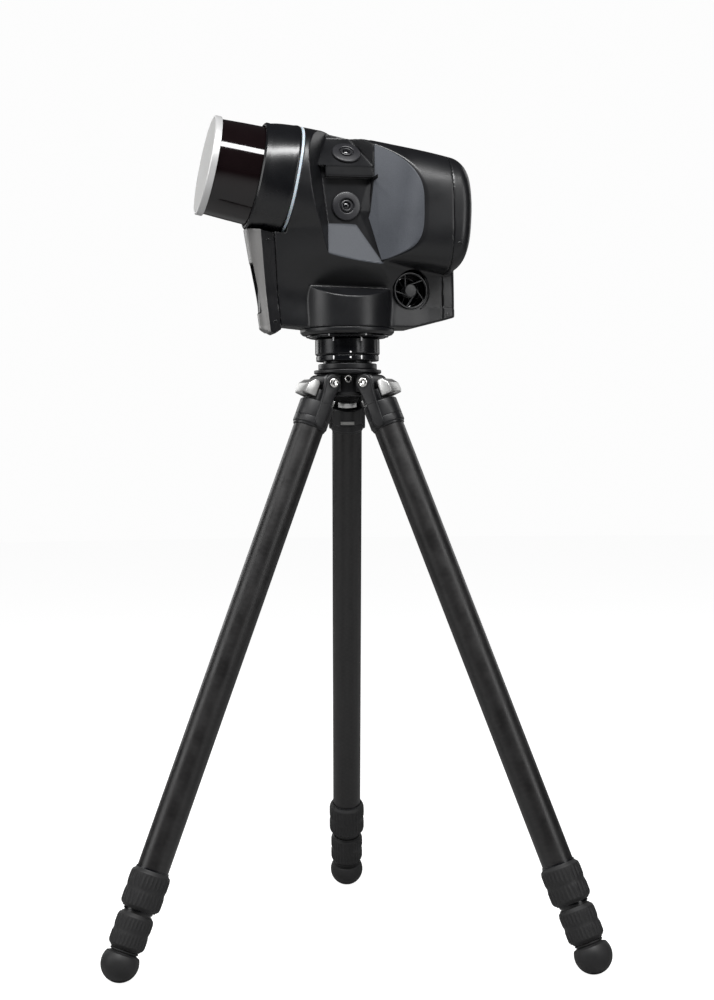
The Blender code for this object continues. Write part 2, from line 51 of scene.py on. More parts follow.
AXIS = Vector(JOINTS["head_pan"]["pos_m"]) / MM
TRIPOD_AXIS = Matrix.Translation((AXIS.x * MM, AXIS.y * MM, 0))
CAP = Vector(JOINTS["lidar_spin"]["pos_m"]) / MM - Vector((AXIS.x, AXIS.y, 0))
TILT = math.atan2(JOINTS["lidar_spin"]["axis"][2], -JOINTS["lidar_spin"]["axis"][0])
LIDAR_AXIS = TRIPOD_AXIS @ Matrix.Translation(CAP * MM) @ Matrix.Rotation(TILT - math.pi / 2, 4, "Y")

SEAM_X = 88.4
TURRET_R = 44.3
CAP_R = 46.5
KEEL_REAR = 101.3
KEEL_REAR_HALF = 15.5
COLLAR_SEAT = 81.2
NOSE_CUT = -50.8
FAN_CENTRE = (56.2, 616.0)
FAN_LEAN = 11.3
WALL = 3.0
SLOT_HALF = 8.8
FRONT = 258.4


# ---------------------------------------------------------------- materials

RELIEF = 0.00012  # metres of relief under the bump


def add(tree, kind, inputs, **settings):
    """A node; each input is given a value or another node's output."""
    made = tree.nodes.new("ShaderNode" + kind)
    for name, value in settings.items():
        setattr(made, name, value)
    for key, value in inputs.items():
        if isinstance(value, bpy.types.NodeSocket):
            tree.links.new(value, made.inputs[key])
        else:
            made.inputs[key].default_value = value
    return made


def noise(tree, place, scale, detail=2.0, stretch=None):
    """Noise in the object's own space; stretch squeezes it along the axes."""
    if stretch:
        place = add(tree, "Mapping", {"Vector": place, "Scale": stretch}).outputs["Vector"]
    return add(tree, "TexNoise", {"Vector": place, "Scale": scale, "Detail": detail}).outputs["Fac"]


def ramp(tree, fac, low, high, start=0.35, end=0.65):
    """Carries start...end over to low...high."""
    ends = {"From Min": start, "From Max": end, "To Min": low, "To Max": high}
    return add(tree, "MapRange", {"Value": fac, **ends}).outputs["Result"]


def mixed(tree, fac, first, second):
    """One colour blending into another; each is a tuple or a node's output."""
    made = add(tree, "Mix", {"Factor": fac}, data_type="RGBA")
    for socket, value in (("A", first), ("B", second)):
        target = next(i for i in made.inputs if i.name == socket and i.type == "RGBA")
        if isinstance(value, tuple):
            target.default_value = (*value, 1)
        else:
            tree.links.new(value, target)
    return next(o for o in made.outputs if o.type == "RGBA")


def surface(name, colour, other, rough, grain=900.0, bump=0.06, blotch=38.0, stretch=None, **sockets):
    """A Principled material whose colour, roughness and relief all vary with noise."""
    made = bpy.data.materials.new(name)
    made.use_nodes = True
    tree = made.node_tree
    shader = tree.nodes["Principled BSDF"]
    place = tree.nodes.new("ShaderNodeTexCoord").outputs["Object"]
    fine = noise(tree, place, grain, 3.0, stretch)
    broad = noise(tree, place, blotch, 3.0)
    half = add(tree, "Math", {0: broad, 1: 0.5}, operation="MULTIPLY").outputs[0]
    blend = add(tree, "Math", {0: fine, 1: 0.5, 2: half}, operation="MULTIPLY_ADD").outputs[0]
    colours = mixed(tree, ramp(tree, blend, 0, 1), colour, other)
    tree.links.new(colours, shader.inputs["Base Color"])
    tree.links.new(ramp(tree, broad, rough[0], rough[1]), shader.inputs["Roughness"])
    relief = add(tree, "Bump", {"Strength": bump, "Distance": RELIEF, "Height": fine})
    tree.links.new(relief.outputs["Normal"], shader.inputs["Normal"])
    for socket, value in sockets.items():
        shader.inputs[socket.replace("_", " ")].default_value = value
    return made


def plane_mask(tree, place, normal, level, soft=0.05):
    """1 where the point or its mirror image lies beyond the plane normal . p = level (millimetres)."""
    split = add(tree, "SeparateXYZ", {0: place}).outputs
    wide = add(tree, "Math", {0: split["Y"]}, operation="ABSOLUTE").outputs[0]
    folded = add(tree, "CombineXYZ", {"X": split["X"], "Y": wide, "Z": split["Z"]}).outputs[0]
    along = add(tree, "VectorMath", {0: folded, 1: tuple(normal)}, operation="DOT_PRODUCT")
    return ramp(tree, along.outputs["Value"], 0, 1, (level - soft) * MM, (level + soft) * MM)


def product(tree, *values):
    result = values[0]
    for value in values[1:]:
        result = add(tree, "Math", {0: result, 1: value}, operation="MULTIPLY").outputs[0]
    return result


def object_place(tree):
    """The coordinates that the material's noise already reads."""
    return next(n for n in tree.nodes if n.bl_idname == "ShaderNodeTexCoord").outputs["Object"]


def two_tone(name, base, second_rough, colour, other, masks, **settings):
    """The surface material with a second pair of colours where all the plane masks hold."""
    made = surface(name, *base, **settings)
    tree = made.node_tree
    shader = tree.nodes["Principled BSDF"]
    place = object_place(tree)
    inside = product(tree, *[plane_mask(tree, place, normal, level) for normal, level in masks])
    first = shader.inputs["Base Color"].links[0].from_socket
    second = mixed(tree, noise(tree, place, 700, 3.0), colour, other)
    tree.links.new(mixed(tree, inside, first, second), shader.inputs["Base Color"])
    rough = shader.inputs["Roughness"].links[0].from_socket
    swap = add(tree, "Mix", {"Factor": inside, "A": rough, "B": second_rough}, data_type="FLOAT")
    tree.links.new(swap.outputs["Result"], shader.inputs["Roughness"])
    return made


def plane_through(a, b, c, behind):
    """Unit normal and level of the plane through three points, pointing away from the point behind."""
    a, b, c, behind = (Vector(p) for p in (a, b, c, behind))
    normal = (b - a).cross(c - a).normalized()
    if normal.dot(behind - a) > 0:
        normal = -normal
    return normal, normal.dot(a)


BLACK_TONES = ((0.0030, 0.0032, 0.0040), (0.0050, 0.0052, 0.0063), (0.32, 0.40))


# The lower grey facet, between the lower camera and the belly
FACET = plane_through((-24.6, 36, 675.5), (1.5, 36, 673.5), (23, 45, 639.5), (0, 0, 650))

ARCH = Vector((1, 0.6513, 0.1268))
SHELL_LOOK = two_tone(
    "satin_black_shell",
    BLACK_TONES, 0.62, (0.036, 0.040, 0.048), (0.048, 0.053, 0.063),
    ((FACET[0], FACET[1] - 0.45), (-FACET[0], -FACET[1] - 0.45), ((0, 0, -1), -675.8), ((0, 0, 1), 636.0),
     (ARCH.normalized(), 84.6 / ARCH.length), ((-1, 0, 0), -26.0)),
    grain=1300.0, bump=0.22, blotch=30.0,
)
BLACK = surface("satin_black", *BLACK_TONES, 1300.0, 0.2, 30.0)
COLLAR_LOOK = surface("collar_black", (0.0030, 0.0032, 0.0040), (0.0048, 0.0050, 0.0061), (0.24, 0.30),
                      1300.0, 0.16, 30.0)
GREY = surface("textured_grey", (0.034, 0.038, 0.046), (0.050, 0.055, 0.066), (0.55, 0.66), 1100.0, 0.5, 26.0)
CAP_FACE = surface("satin_aluminium", (0.42, 0.42, 0.415), (0.47, 0.47, 0.465), (0.50, 0.58), 1500.0, 0.10,
                   20.0, Metallic=0.25)
CAP_EDGE = surface("cut_aluminium", (0.60, 0.60, 0.60), (0.68, 0.68, 0.68), (0.36, 0.44), 900.0, 0.04, 20.0,
                   Metallic=0.5)
WINDOW = surface("tinted_window", (0.0040, 0.0020, 0.0024), (0.0055, 0.0030, 0.0034), (0.045, 0.075), 60.0,
                 0.01, 12.0, Specular_IOR_Level=0.5)
LIGHT = surface("light_guide", (0.42, 0.46, 0.50), (0.48, 0.51, 0.55), (0.34, 0.42), 500.0, 0.05, 18.0,
                Subsurface_Weight=0.15)
ANODISED = surface("black_anodised", (0.0035, 0.0038, 0.0050), (0.0060, 0.0064, 0.0080), (0.22, 0.31),
                   1700.0, 0.12, 45.0, Metallic=0.25)
CAST = surface("matt_anodised", (0.0032, 0.0033, 0.0040), (0.0055, 0.0056, 0.0066), (0.34, 0.46), 1200.0,
               0.30, 45.0)
SILVER = surface("satin_silver", (0.50, 0.50, 0.495), (0.62, 0.62, 0.61), (0.30, 0.42), 700.0, 0.12, 90.0,
                 Metallic=0.9)
STEEL = surface("polished_steel", (0.72, 0.71, 0.69), (0.82, 0.81, 0.79), (0.10, 0.18), 900.0, 0.05, 60.0,
                Metallic=1.0)
SCREW = surface("blackened_screw", (0.010, 0.010, 0.011), (0.018, 0.018, 0.019), (0.22, 0.34), 900.0, 0.10,
                90.0, Metallic=0.4)
RUBBER = surface("ribbed_rubber", (0.0048, 0.0047, 0.0052), (0.0075, 0.0074, 0.0080), (0.55, 0.72), 1500.0,
                 0.35, 70.0)
MARK = surface("white_mark", (0.92, 0.92, 0.92), (0.97, 0.97, 0.97), (0.42, 0.52), 900.0, 0.05, 60.0)
LENS = surface("lens_glass", (0.003, 0.003, 0.004), (0.006, 0.006, 0.008), (0.03, 0.06), 60.0, 0.01, 20.0,
               Coat_Weight=0.6, Coat_Roughness=0.03)
BEZEL = surface("camera_bezel", (0.013, 0.013, 0.015), (0.020, 0.020, 0.023), (0.34, 0.44), 1100.0, 0.18,
                40.0)
BOARD = surface("circuit_board", (0.012, 0.075, 0.035), (0.020, 0.11, 0.05), (0.40, 0.55), 600.0, 0.1, 90.0)
CELL = surface("battery_case", (0.030, 0.030, 0.034), (0.042, 0.042, 0.047), (0.48, 0.60), 800.0, 0.15, 50.0)
PLATE = surface("blank_plate", (0.24, 0.24, 0.235), (0.33, 0.33, 0.32), (0.30, 0.42), 900.0, 0.1, 120.0,
                Metallic=0.8)
NOSE_SEAM = plane_through((-75.7, 0, 583), (-85.4, 0, 670), (-75.7, 10, 583), (0, 0, 620))
NOSE_LOOK = two_tone(
    "front_cover_two_tone",
    ((0.0032, 0.0032, 0.0040), (0.0052, 0.0052, 0.0062), (0.30, 0.40)),
    0.36, (0.165, 0.162, 0.160), (0.200, 0.197, 0.194),
    ((NOSE_SEAM[0], NOSE_SEAM[1] + 0.1),),
    grain=1200.0, bump=0.14, blotch=30.0,
)


def carbon_material():
    """Satin wound carbon: fine crossing filaments with a soft mottled lustre."""
    made = surface("wound_carbon", (0.0050, 0.0047, 0.0049), (0.0110, 0.0103, 0.0105), (0.34, 0.44), 260.0,
                   0.10, 60.0, stretch=(1.0, 1.0, 0.16))
    tree = made.node_tree
    shader = tree.nodes["Principled BSDF"]
    place = object_place(tree)
    bands = []
    for lean in (0.62, -0.62):
        leaning = add(tree, "Mapping", {"Vector": place, "Rotation": (lean, 0, lean)}).outputs["Vector"]
        wave = add(tree, "TexWave", {"Vector": leaning, "Scale": 70.0, "Distortion": 2.5, "Detail": 2.0},
                   bands_direction="Z")
        bands.append(wave.outputs["Fac"])
    crossing = product(tree, *bands)
    first = shader.inputs["Base Color"].links[0].from_socket
    tree.links.new(mixed(tree, ramp(tree, crossing, 0.0, 0.45, 0.1, 0.9), first, (0.0150, 0.0140, 0.0142)),
                   shader.inputs["Base Color"])
    return made


CARBON = carbon_material()


# ---------------------------------------------------------------- pieces


def turn(angle, axis):
    return Matrix.Rotation(math.radians(angle), 4, axis)


def place(x=0.0, y=0.0, z=0.0):
    return Matrix.Translation((x * MM, y * MM, z * MM))


def piece(name, mesh, look, matrix=None, sharp=30.0):
    """One object; look is a material or a list of them."""
    made = bpy.data.objects.new(name, mesh)
    bpy.context.scene.collection.objects.link(made)
    mesh.materials.clear()
    for item in look if isinstance(look, (list, tuple)) else [look]:
        mesh.materials.append(item)
    made.matrix_world = matrix or Matrix.Identity(4)
    mesh.shade_smooth()
    mesh.set_sharp_from_angle(angle=math.radians(sharp))
    return made


def mesh_from(name, bm):
    bmesh.ops.recalc_face_normals(bm, faces=bm.faces)
    mesh = bpy.data.meshes.new(name)
    bm.to_mesh(mesh)
    bm.free()
    return mesh


def settle(obj):
    """Applies the modifiers to the mesh."""
    bpy.context.view_layer.update()
    mesh = bpy.data.meshes.new_from_object(obj.evaluated_get(bpy.context.evaluated_depsgraph_get()))
    obj.modifiers.clear()
    old = obj.data
    obj.data = mesh
    bpy.data.meshes.remove(old)
    mesh.shade_smooth()
    mesh.set_sharp_from_angle(angle=math.radians(30))
    return obj


def rounded(obj, width, segments=2, angle=35.0):
    step = obj.modifiers.new("Bevel", "BEVEL")
    step.width = width * MM
    step.segments = segments
    step.limit_method = "ANGLE"
    step.angle_limit = math.radians(angle)
    return settle(obj)


def boolean(target, operation, *others):
    """Combines and applies; the others are used up."""
    for other in others:
        step = target.modifiers.new("Boolean", "BOOLEAN")
        step.operation = operation
        step.solver = "MANIFOLD"
        step.object = other
    settle(target)
    for other in others:
        bpy.data.objects.remove(other, do_unlink=True)
    return target


def cut(target, *others):
    return boolean(target, "DIFFERENCE", *others)


def join(target, *others):
    return boolean(target, "UNION", *others)


def arc(radius, start, end, count, middle=0.0, tall=None):
    """Points of an arc about (0, middle), angles in degrees; tall is its other half axis."""
    found = []
    for i in range(count + 1):
        angle = math.radians(start + (end - start) * i / count)
        found.append((radius * math.cos(angle), middle + (tall or radius) * math.sin(angle)))
    return found


def softened(profile, radius, ring):
    """The profile with its corners rounded."""
    count = len(profile)
    found = []
    for i, point in enumerate(profile):
        here = Vector(point)
        if not ring and i in (0, count - 1):
            found.append(tuple(here))
            continue
        before = Vector(profile[i - 1]) - here
        after = Vector(profile[(i + 1) % count]) - here
        if before.length < 1e-6 or after.length < 1e-6 or abs(before.angle(after) - math.pi) < 0.35:
            found.append(tuple(here))
            continue
        reach = min(radius, before.length * 0.45, after.length * 0.45)
        a, b = here + before.normalized() * reach, here + after.normalized() * reach
        for j in range(4):
            u = j / 3
            found.append(tuple(a * (1 - u) ** 2 + here * 2 * u * (1 - u) + b * u * u))
    return found


def turned(name, profile, look, matrix, sides=96, soft=0.4, wave=None):
    """A (radius, z) profile turned about Z with softened corners; wave(angle, radius, z) moves a radius."""
    ring = profile[0][0] > 0.001 or profile[-1][0] > 0.001
    points = softened(profile, soft, ring) if soft else list(profile)
    bm = bmesh.new()
    loops = []
    for r, z in points:
        if r < 0.001:
            loops.append([bm.verts.new((0, 0, z * MM))] * sides)
            continue
        row = []
        for i in range(sides):
            angle = 2 * math.pi * i / sides
            radius = r + (wave(angle, r, z) if wave else 0)
            row.append(bm.verts.new((radius * math.cos(angle) * MM, radius * math.sin(angle) * MM, z * MM)))
        loops.append(row)
    pairs = list(zip(loops, loops[1:])) + ([(loops[-1], loops[0])] if ring else [])
    for a, b in pairs:
        for i in range(sides):
            j = (i + 1) % sides
            corners = []
            for vert in (a[i], a[j], b[j], b[i]):
                if vert not in corners:
                    corners.append(vert)
            if len(corners) > 2:
                bm.faces.new(corners)
    return piece(name, mesh_from(name, bm), look, matrix)


def box(name, low, high, look=None, matrix=None, soft=0.0, segments=2):
    bm = bmesh.new()
    bmesh.ops.create_cube(bm, size=1)
    size = [(b - a) * MM for a, b in zip(low, high)]
    middle = [(a + b) / 2 * MM for a, b in zip(low, high)]
    bmesh.ops.transform(bm, matrix=Matrix.Translation(middle) @ Matrix.Diagonal((*size, 1)), verts=bm.verts)
    made = piece(name, mesh_from(name, bm), look or BLACK, matrix)
    return rounded(made, soft, segments) if soft else made


def rod(name, radius, low, high, look=None, matrix=None, sides=64):
    return turned(name, [(0, high), (radius, high), (radius, low), (0, low)], look or BLACK, matrix, sides, 0)


def hull(name, points, look=None, matrix=None, soft=0.0, segments=2):
    bm = bmesh.new()
    for point in points:
        bm.verts.new(Vector(point) * MM)
    made = bmesh.ops.convex_hull(bm, input=bm.verts)
    spare = [v for v in made["geom_interior"] if isinstance(v, bmesh.types.BMVert)]
    bmesh.ops.delete(bm, geom=spare, context="VERTS")
    bmesh.ops.dissolve_limit(bm, angle_limit=0.01, verts=bm.verts, edges=bm.edges)
    made = piece(name, mesh_from(name, bm), look or BLACK, matrix)
    return rounded(made, soft, segments) if soft else made


def extruded(name, outline, low, high, look, matrix, soft=0.4, segments=2):
    """A flat outline given its thickness, with rounded edges."""
    bm = bmesh.new()
    lower = [bm.verts.new((x * MM, y * MM, low * MM)) for x, y in outline]
    upper = [bm.verts.new((x * MM, y * MM, high * MM)) for x, y in outline]
    bm.faces.new(lower[::-1])
    bm.faces.new(upper)
    count = len(outline)
    for i in range(count):
        j = (i + 1) % count
        bm.faces.new((lower[i], lower[j], upper[j], upper[i]))
    made = piece(name, mesh_from(name, bm), look, matrix)
    return rounded(made, soft, segments, 45.0) if soft else made


def prism(name, lower, upper):
    """A solid between two like polygons."""
    bm = bmesh.new()
    low = [bm.verts.new(Vector(p) * MM) for p in lower]
    high = [bm.verts.new(Vector(p) * MM) for p in upper]
    bm.faces.new(low[::-1])
    bm.faces.new(high)
    for i in range(len(low)):
        j = (i + 1) % len(low)
        bm.faces.new((low[i], low[j], high[j], high[i]))
    return piece(name, mesh_from(name, bm), BLACK, TRIPOD_AXIS)


def done(obj, body, slot, *nodes):
    """Rides the body and stands for the nodes; the slot is not used."""
    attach(obj, body)
    if nodes:
        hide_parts(*nodes)
    return obj


# ---------------------------------------------------------------- fields of the head


def spline(xs, ys):
    """A smooth curve through the points, as a dense table read by linear interpolation."""
    xs, ys = np.array(xs, float), np.array(ys, float)
    slope = np.gradient(ys, xs)
    dense = np.linspace(xs[0], xs[-1], 400)
    k = np.clip(np.searchsorted(xs, dense) - 1, 0, len(xs) - 2)
    h = xs[k + 1] - xs[k]
    u = (dense - xs[k]) / h
    value = ((2 * u**3 - 3 * u**2 + 1) * ys[k] + (u**3 - 2 * u**2 + u) * h * slope[k]
             + (-2 * u**3 + 3 * u**2) * ys[k + 1] + (u**3 - u**2) * h * slope[k + 1])
    return lambda x: np.interp(x, dense, value)


# Station along the lidar axis, half width, height above the axis, depth below it, and the squareness of the
# upper and the lower half
BARREL = np.array(((78, 57.1, 52.2, 52.2, 2.42, 2.42), (106, 60.6, 52.2, 53.2, 2.65, 2.7),
                   (130, 62.0, 52.9, 57.0, 2.75, 3.2), (150, 62.6, 53.6, 61.5, 2.8, 3.7),
                   (172, 62.6, 54.2, 64.3, 2.8, 4.0), (188, 62.5, 54.6, 60.9, 2.8, 4.0),
                   (201, 62.5, 54.7, 59.2, 2.8, 4.0), (224, 62.2, 53.9, 56.6, 2.9, 4.0),
                   (240, 61.6, 52.6, 55.6, 3.0, 4.0), (262, 60.5, 50.5, 55.4, 3.0, 4.0)))
BARREL_CURVES = [spline(BARREL[:, 0], BARREL[:, i]) for i in range(1, 6)]
BARREL_END = spline((580, 612, 624, 637, 655, 683, 710, 728, 760),
                    (84, 90, 95.5, 100.2, 105.0, 107.9, 107.7, 106.8, 102))
# Height, the nose's reach forward of the axis and its half width, and its sides' crease: x and half width
KEEL = np.array(((583.5, 84.0, 14.5, 38, 27), (617, 88.6, 15.0, 38, 27), (639, 92.0, 19.5, 23, 45.5),
                 (655, 94.6, 24, 12, 52), (672, 97.3, 28, 5, 56), (684, 99.0, 31, 2, 57)))
KEEL_CURVES = [spline(KEEL[:, 0], KEEL[:, i]) for i in (1, 2, 3, 4)]
BELLY = spline((583, 618, 634, 648, 660, 684), (0, 0, 3.0, 6.5, 7.5, 8.0))


def both(a, b, r):
    """Intersection with its edge rounded."""
    u, v = np.maximum(r + a, 0), np.maximum(r + b, 0)
    return np.minimum(-r, np.maximum(a, b)) + np.sqrt(u * u + v * v)


def either(a, b, r):
    """Union with its corner filled."""
    u, v = np.maximum(r - a, 0), np.maximum(r - b, 0)
    return np.maximum(r, np.minimum(a, b)) - np.sqrt(u * u + v * v)


def along_lidar(x, z):
    """The station s and the height t of a point in the middle plane."""
    c, d = math.cos(TILT), math.sin(TILT)
    return (x - CAP.x) * c - (z - CAP.z) * d, (x - CAP.x) * d + (z - CAP.z) * c


def section(t, y, half_width, top, bottom, power, lower):
    """Distance from a squared ellipse whose two halves differ."""
    half_height, power = np.where(t > 0, top, bottom), np.where(t > 0, power, lower)
    a, b = np.abs(t) / half_height + 1e-9, np.abs(y) / half_width + 1e-9
    g = (a**power + b**power) ** (1 / power)
    steep = np.hypot(a ** (power - 1) / half_height, b ** (power - 1) / half_width) * g ** (1 - power)
    return (g - 1) / np.maximum(steep, 0.004)


def barrel_field(x, y, z):
    s, t = along_lidar(x, z)
    return both(section(t, y, *(curve(s) for curve in BARREL_CURVES)), x - BARREL_END(z), 11.0)


def keel_sides(x, y, z):
    reach, nose, crease_x, crease = (curve(z) for curve in KEEL_CURVES)
    length = nose * 0.62 + 4
    start = length - reach
    rise = (crease - nose) / (crease_x - start)
    fall = (KEEL_REAR_HALF - crease) / (KEEL_REAR - 3 - crease_x)
    wide = np.abs(y)
    share = np.clip((x - start) / (crease_x - start), 0, 1)
    front = (wide - nose - (x - start) * rise - BELLY(z) * 4 * share * (1 - share)) / np.hypot(1, rise)
    rear = (wide - crease - (x - crease_x) * fall) / np.hypot(1, fall)
    side = both(front, rear, 0.8)
    q = np.sqrt(((x - start) / length) ** 2 + (wide / nose) ** 2) + 1e-9
    steep = np.hypot((x - start) / length**2, wide / nose**2) / q
    side = np.where(x < start, (q - 1) / np.maximum(steep, 0.01), side)
    low_rear = np.maximum(rear - 0.8 * np.clip((x - 74.0) / 14.0, 0, 1), z - 601.2)
    side = np.minimum(side, np.maximum(low_rear, 74.0 - x))
    return np.maximum(both(side, x - KEEL_REAR, 3.5), z - 684.0)


def keel_field(x, y, z):
    bottom = np.maximum(np.maximum(581.35, 581.35 + (-44 - x) * 0.095), 588.5 + (x - 88) * 0.25) - z
    return both(keel_sides(x, y, z), bottom, 1.6)


def turret_field(x, y, z):
    r = np.hypot(x, y)
    shoulder = (z - 609.0 + (np.abs(y) - TURRET_R) * 0.46) / math.hypot(1, 0.46)
    return both(both(r - TURRET_R, shoulder, 0.7), 581.35 - z, 0.5)


def hull_field(points):
    """The field of a convex hull, as the greatest of its faces' planes."""
    bm = bmesh.new()
    for point in points:
        bm.verts.new(point)
    bmesh.ops.convex_hull(bm, input=bm.verts)
    bm.normal_update()
    centre = Vector([sum(p[i] for p in points) / len(points) for i in range(3)])
    planes = []
    for face in bm.faces:
        normal = face.normal.normalized()
        level = normal.dot(face.verts[0].co)
        if normal.dot(centre) > level:
            normal, level = -normal, -level
        if not any((normal - other).length < 0.001 and abs(level - found) < 0.01 for other, found in planes):
            planes.append((normal, level))
    bm.free()
    return lambda x, y, z: np.maximum.reduce([n[0] * x + n[1] * np.abs(y) + n[2] * z - c for n, c in planes])


def arch(lat, z):
    """Where the recess's front face stands, from its three corners."""
    return 84.4 - 0.6513 * lat - 0.1268 * z


def corner(lat, z):
    return (arch(lat, z), lat, z)


FLOOR = 36.0
POCKETS = [
    hull_field([corner(FLOOR, 728), corner(FLOOR, 687), corner(95, 728), corner(95, 687), (16.8, FLOOR, 728),
                (18, 43, 728), (18, 95, 728), (4.7, FLOOR, 687), (13.6, 40.9, 687), (13.6, 95, 687)]),
    hull_field([corner(FLOOR, 687.2), corner(FLOOR, 675.5), corner(95, 687.2), corner(95, 640),
                corner(44.4, 645.5), (4.7, FLOOR, 687.2), (13.6, 40.9, 687.2), (13.6, 95, 687.2),
                (12.0, 40.1, 681), (12.0, 95, 681), (1.5, FLOOR, 673.5), (23, 45, 639.5), (23, 95, 639.5)]),
    hull_field([corner(43, 727.5), corner(16, 757), corner(16, 790), corner(95, 727.5), corner(95, 790),
                (17.0, 43, 727.5), (-0.5, 16, 757), (0.2, 16, 790), (46.5, 90, 727.5), (47.3, 90, 790)]),
]
LEDGE = hull_field([(x, y, z) for x in (-27.5, 17.0) for y in (20, 42.4) for z in (718.3, 728.2)])
FACET_PLANE = Vector((-28.6, 65.0, 0)).normalized()
FACET_LEVEL = FACET_PLANE.dot(Vector((15.0, 41.4, 0)))


def facet_edge(z):
    """Where the facet behind the camera recess begins."""
    return np.interp(z, (637, 681, 687, 720, 790), (23.6, 11.8, 13.4, 17.8, 18.0))


def uncut_field(x, y, z):
    """The head behind the collar before the recesses are cut."""
    solid = either(barrel_field(x, y, z), keel_field(x, y, z), 2.5)
    solid = either(solid, turret_field(x, y, z), 2.2)
    s, t = along_lidar(x, z)
    return both(solid, -both(s - COLLAR_SEAT, NOSE_CUT - t, 0.6), 0.6)


def body_field(x, y, z):
    solid = uncut_field(x, y, z)
    recess = np.minimum.reduce([pocket(x, y, z) for pocket in POCKETS])
    t = along_lidar(x, z)[1]
    top = np.maximum(np.maximum(arch(np.abs(y), z) - x, x - 18.0), 50.1 - t)
    recess = np.minimum(recess, top)
    solid = both(solid, -both(recess, -LEDGE(x, y, z), 0.5), 0.7)
    beyond = FACET_LEVEL - FACET_PLANE[0] * x - FACET_PLANE[1] * np.abs(y)
    facet = np.maximum(np.maximum(beyond, facet_edge(z) - x), 637 - z)
    return both(solid, -facet, 0.6)


def seam_plane(shift):
    """The leaning seam between the front cover and the housing."""
    low, high = Vector((-65.8 + shift, 584.0)), Vector((-73.8 + shift, 670.0))
    run = (high - low).normalized()
    return lambda x, z: (x - low.x) * run.y - (z - low.y) * run.x


def housing_field(x, y, z):
    solid = both(body_field(x, y, z), x - SEAM_X, 0.5)
    return both(solid, -seam_plane(GAP)(x, z), 0.5)


def rear_field(x, y, z):
    return both(body_field(x, y, z), SEAM_X + GAP - x, 0.5)


def nose_field(x, y, z):
    t = along_lidar(x, z)[1]
    foot = np.maximum(580.6 - (x + 83.0) * 0.4655, 575.2 + (x + 71.4) * 0.70) - z
    solid = both(both(keel_sides(x, y, z), foot, 0.8), t - NOSE_CUT, 0.8)
    band = seam_plane(-11.0)(x, z)
    solid = np.minimum(both(solid, band, 0.4), solid + 0.7)
    return both(solid, seam_plane(0.0)(x, z), 0.5)


def cavity_field(x, y, z):
    return np.maximum(body_field(x, y, z) + WALL, COLLAR_SEAT + 2.8 - along_lidar(x, z)[0])


def rear_shell_field(x, y, z):
    return np.maximum(rear_field(x, y, z), -WALL - body_field(x, y, z))


def half_field(x, y, z):
    return both(housing_field(x, y, z), GAP / 2 - y, 0.4)


def nose_hollow_field(x, y, z):
    return np.maximum(keel_field(x, y, z) + 2.6, x + 40)


def liner_field(x, y, z):
    """The dark well behind the nose slot."""
    inside = np.maximum(np.maximum(np.abs(y) - (SLOT_HALF - 0.05), x + 78.0), np.abs(z - 618.6) - 23.4)
    return np.maximum(keel_sides(x, y, z) + 0.5, inside)


def surface_net(name, field, low, high, step, look):
    """A closed mesh on the field's zero level: one point for each grid cell that the surface crosses."""
    axes = [np.arange(a, b + step, step) for a, b in zip(low, high)]
    grid = np.meshgrid(*axes, indexing="ij", sparse=True)
    values = np.broadcast_to(field(*grid), [len(a) for a in axes]).astype(np.float32)
    inside = values < 0
    corners = [(i, j, k) for i in (0, 1) for j in (0, 1) for k in (0, 1)]
    shape = [n - 1 for n in inside.shape]
    count = np.zeros(shape, np.int8)
    for i, j, k in corners:
        count += inside[i:i + shape[0], j:j + shape[1], k:k + shape[2]]
    active = (count > 0) & (count < 8)
    cells = np.argwhere(active)
    index = np.full(shape, -1, np.int32)
    index[tuple(cells.T)] = np.arange(len(cells))
    total, crossings = np.zeros((len(cells), 3)), np.zeros(len(cells))
    for a in corners:
        for axis in range(3):
            if a[axis]:
                continue
            b = list(a)
            b[axis] = 1
            va = values[tuple((cells + a).T)]
            vb = values[tuple((cells + b).T)]
            crossed = (va < 0) != (vb < 0)
            share = np.where(crossed, va / np.where(crossed, va - vb, 1), 0)
            point = np.array(a, float) + share[:, None] * (np.array(b) - np.array(a))
            total += np.where(crossed[:, None], point, 0)
            crossings += crossed
    points = np.array([a[0] for a in axes]) + (cells + total / crossings[:, None]) * step
    faces = []
    for axis in range(3):
        one, two = (axis + 1) % 3, (axis + 2) % 3
        low_side = [slice(None)] * 3
        high_side = [slice(None)] * 3
        low_side[axis], high_side[axis] = slice(None, -1), slice(1, None)
        a, b = inside[tuple(low_side)], inside[tuple(high_side)]
        edges = np.argwhere(a != b)
        leaving = a[tuple(edges.T)]
        ring = []
        for p, q in ((-1, -1), (0, -1), (0, 0), (-1, 0)):
            cell = edges.copy()
            cell[:, one] += p
            cell[:, two] += q
            ring.append(index[tuple(cell.T)])
        quads = np.stack(ring, 1)
        quads[~leaving] = quads[~leaving][:, ::-1]
        faces.append(quads)
    faces = np.concatenate(faces)
    for _ in range(4):
        value = field(*points.T)
        slope = np.stack([(field(*(points + shift).T) - field(*(points - shift).T)) / 0.1
                          for shift in 0.05 * np.eye(3)], 1)
        length = np.maximum((slope**2).sum(1), 0.05)
        points -= np.clip(value / length, -0.4 * step, 0.4 * step)[:, None] * slope
    mesh = bpy.data.meshes.new(name)
    mesh.vertices.add(len(points))
    mesh.vertices.foreach_set("co", (points * MM).astype(np.float32).ravel())
    mesh.loops.add(faces.size)
    mesh.loops.foreach_set("vertex_index", faces.astype(np.int32).ravel())
    mesh.polygons.add(len(faces))
    mesh.polygons.foreach_set("loop_start", np.arange(0, faces.size, 4, dtype=np.int32))
    mesh.update(calc_edges=True)
    mesh.validate()
    return piece(name, mesh, look, TRIPOD_AXIS, 40.0)


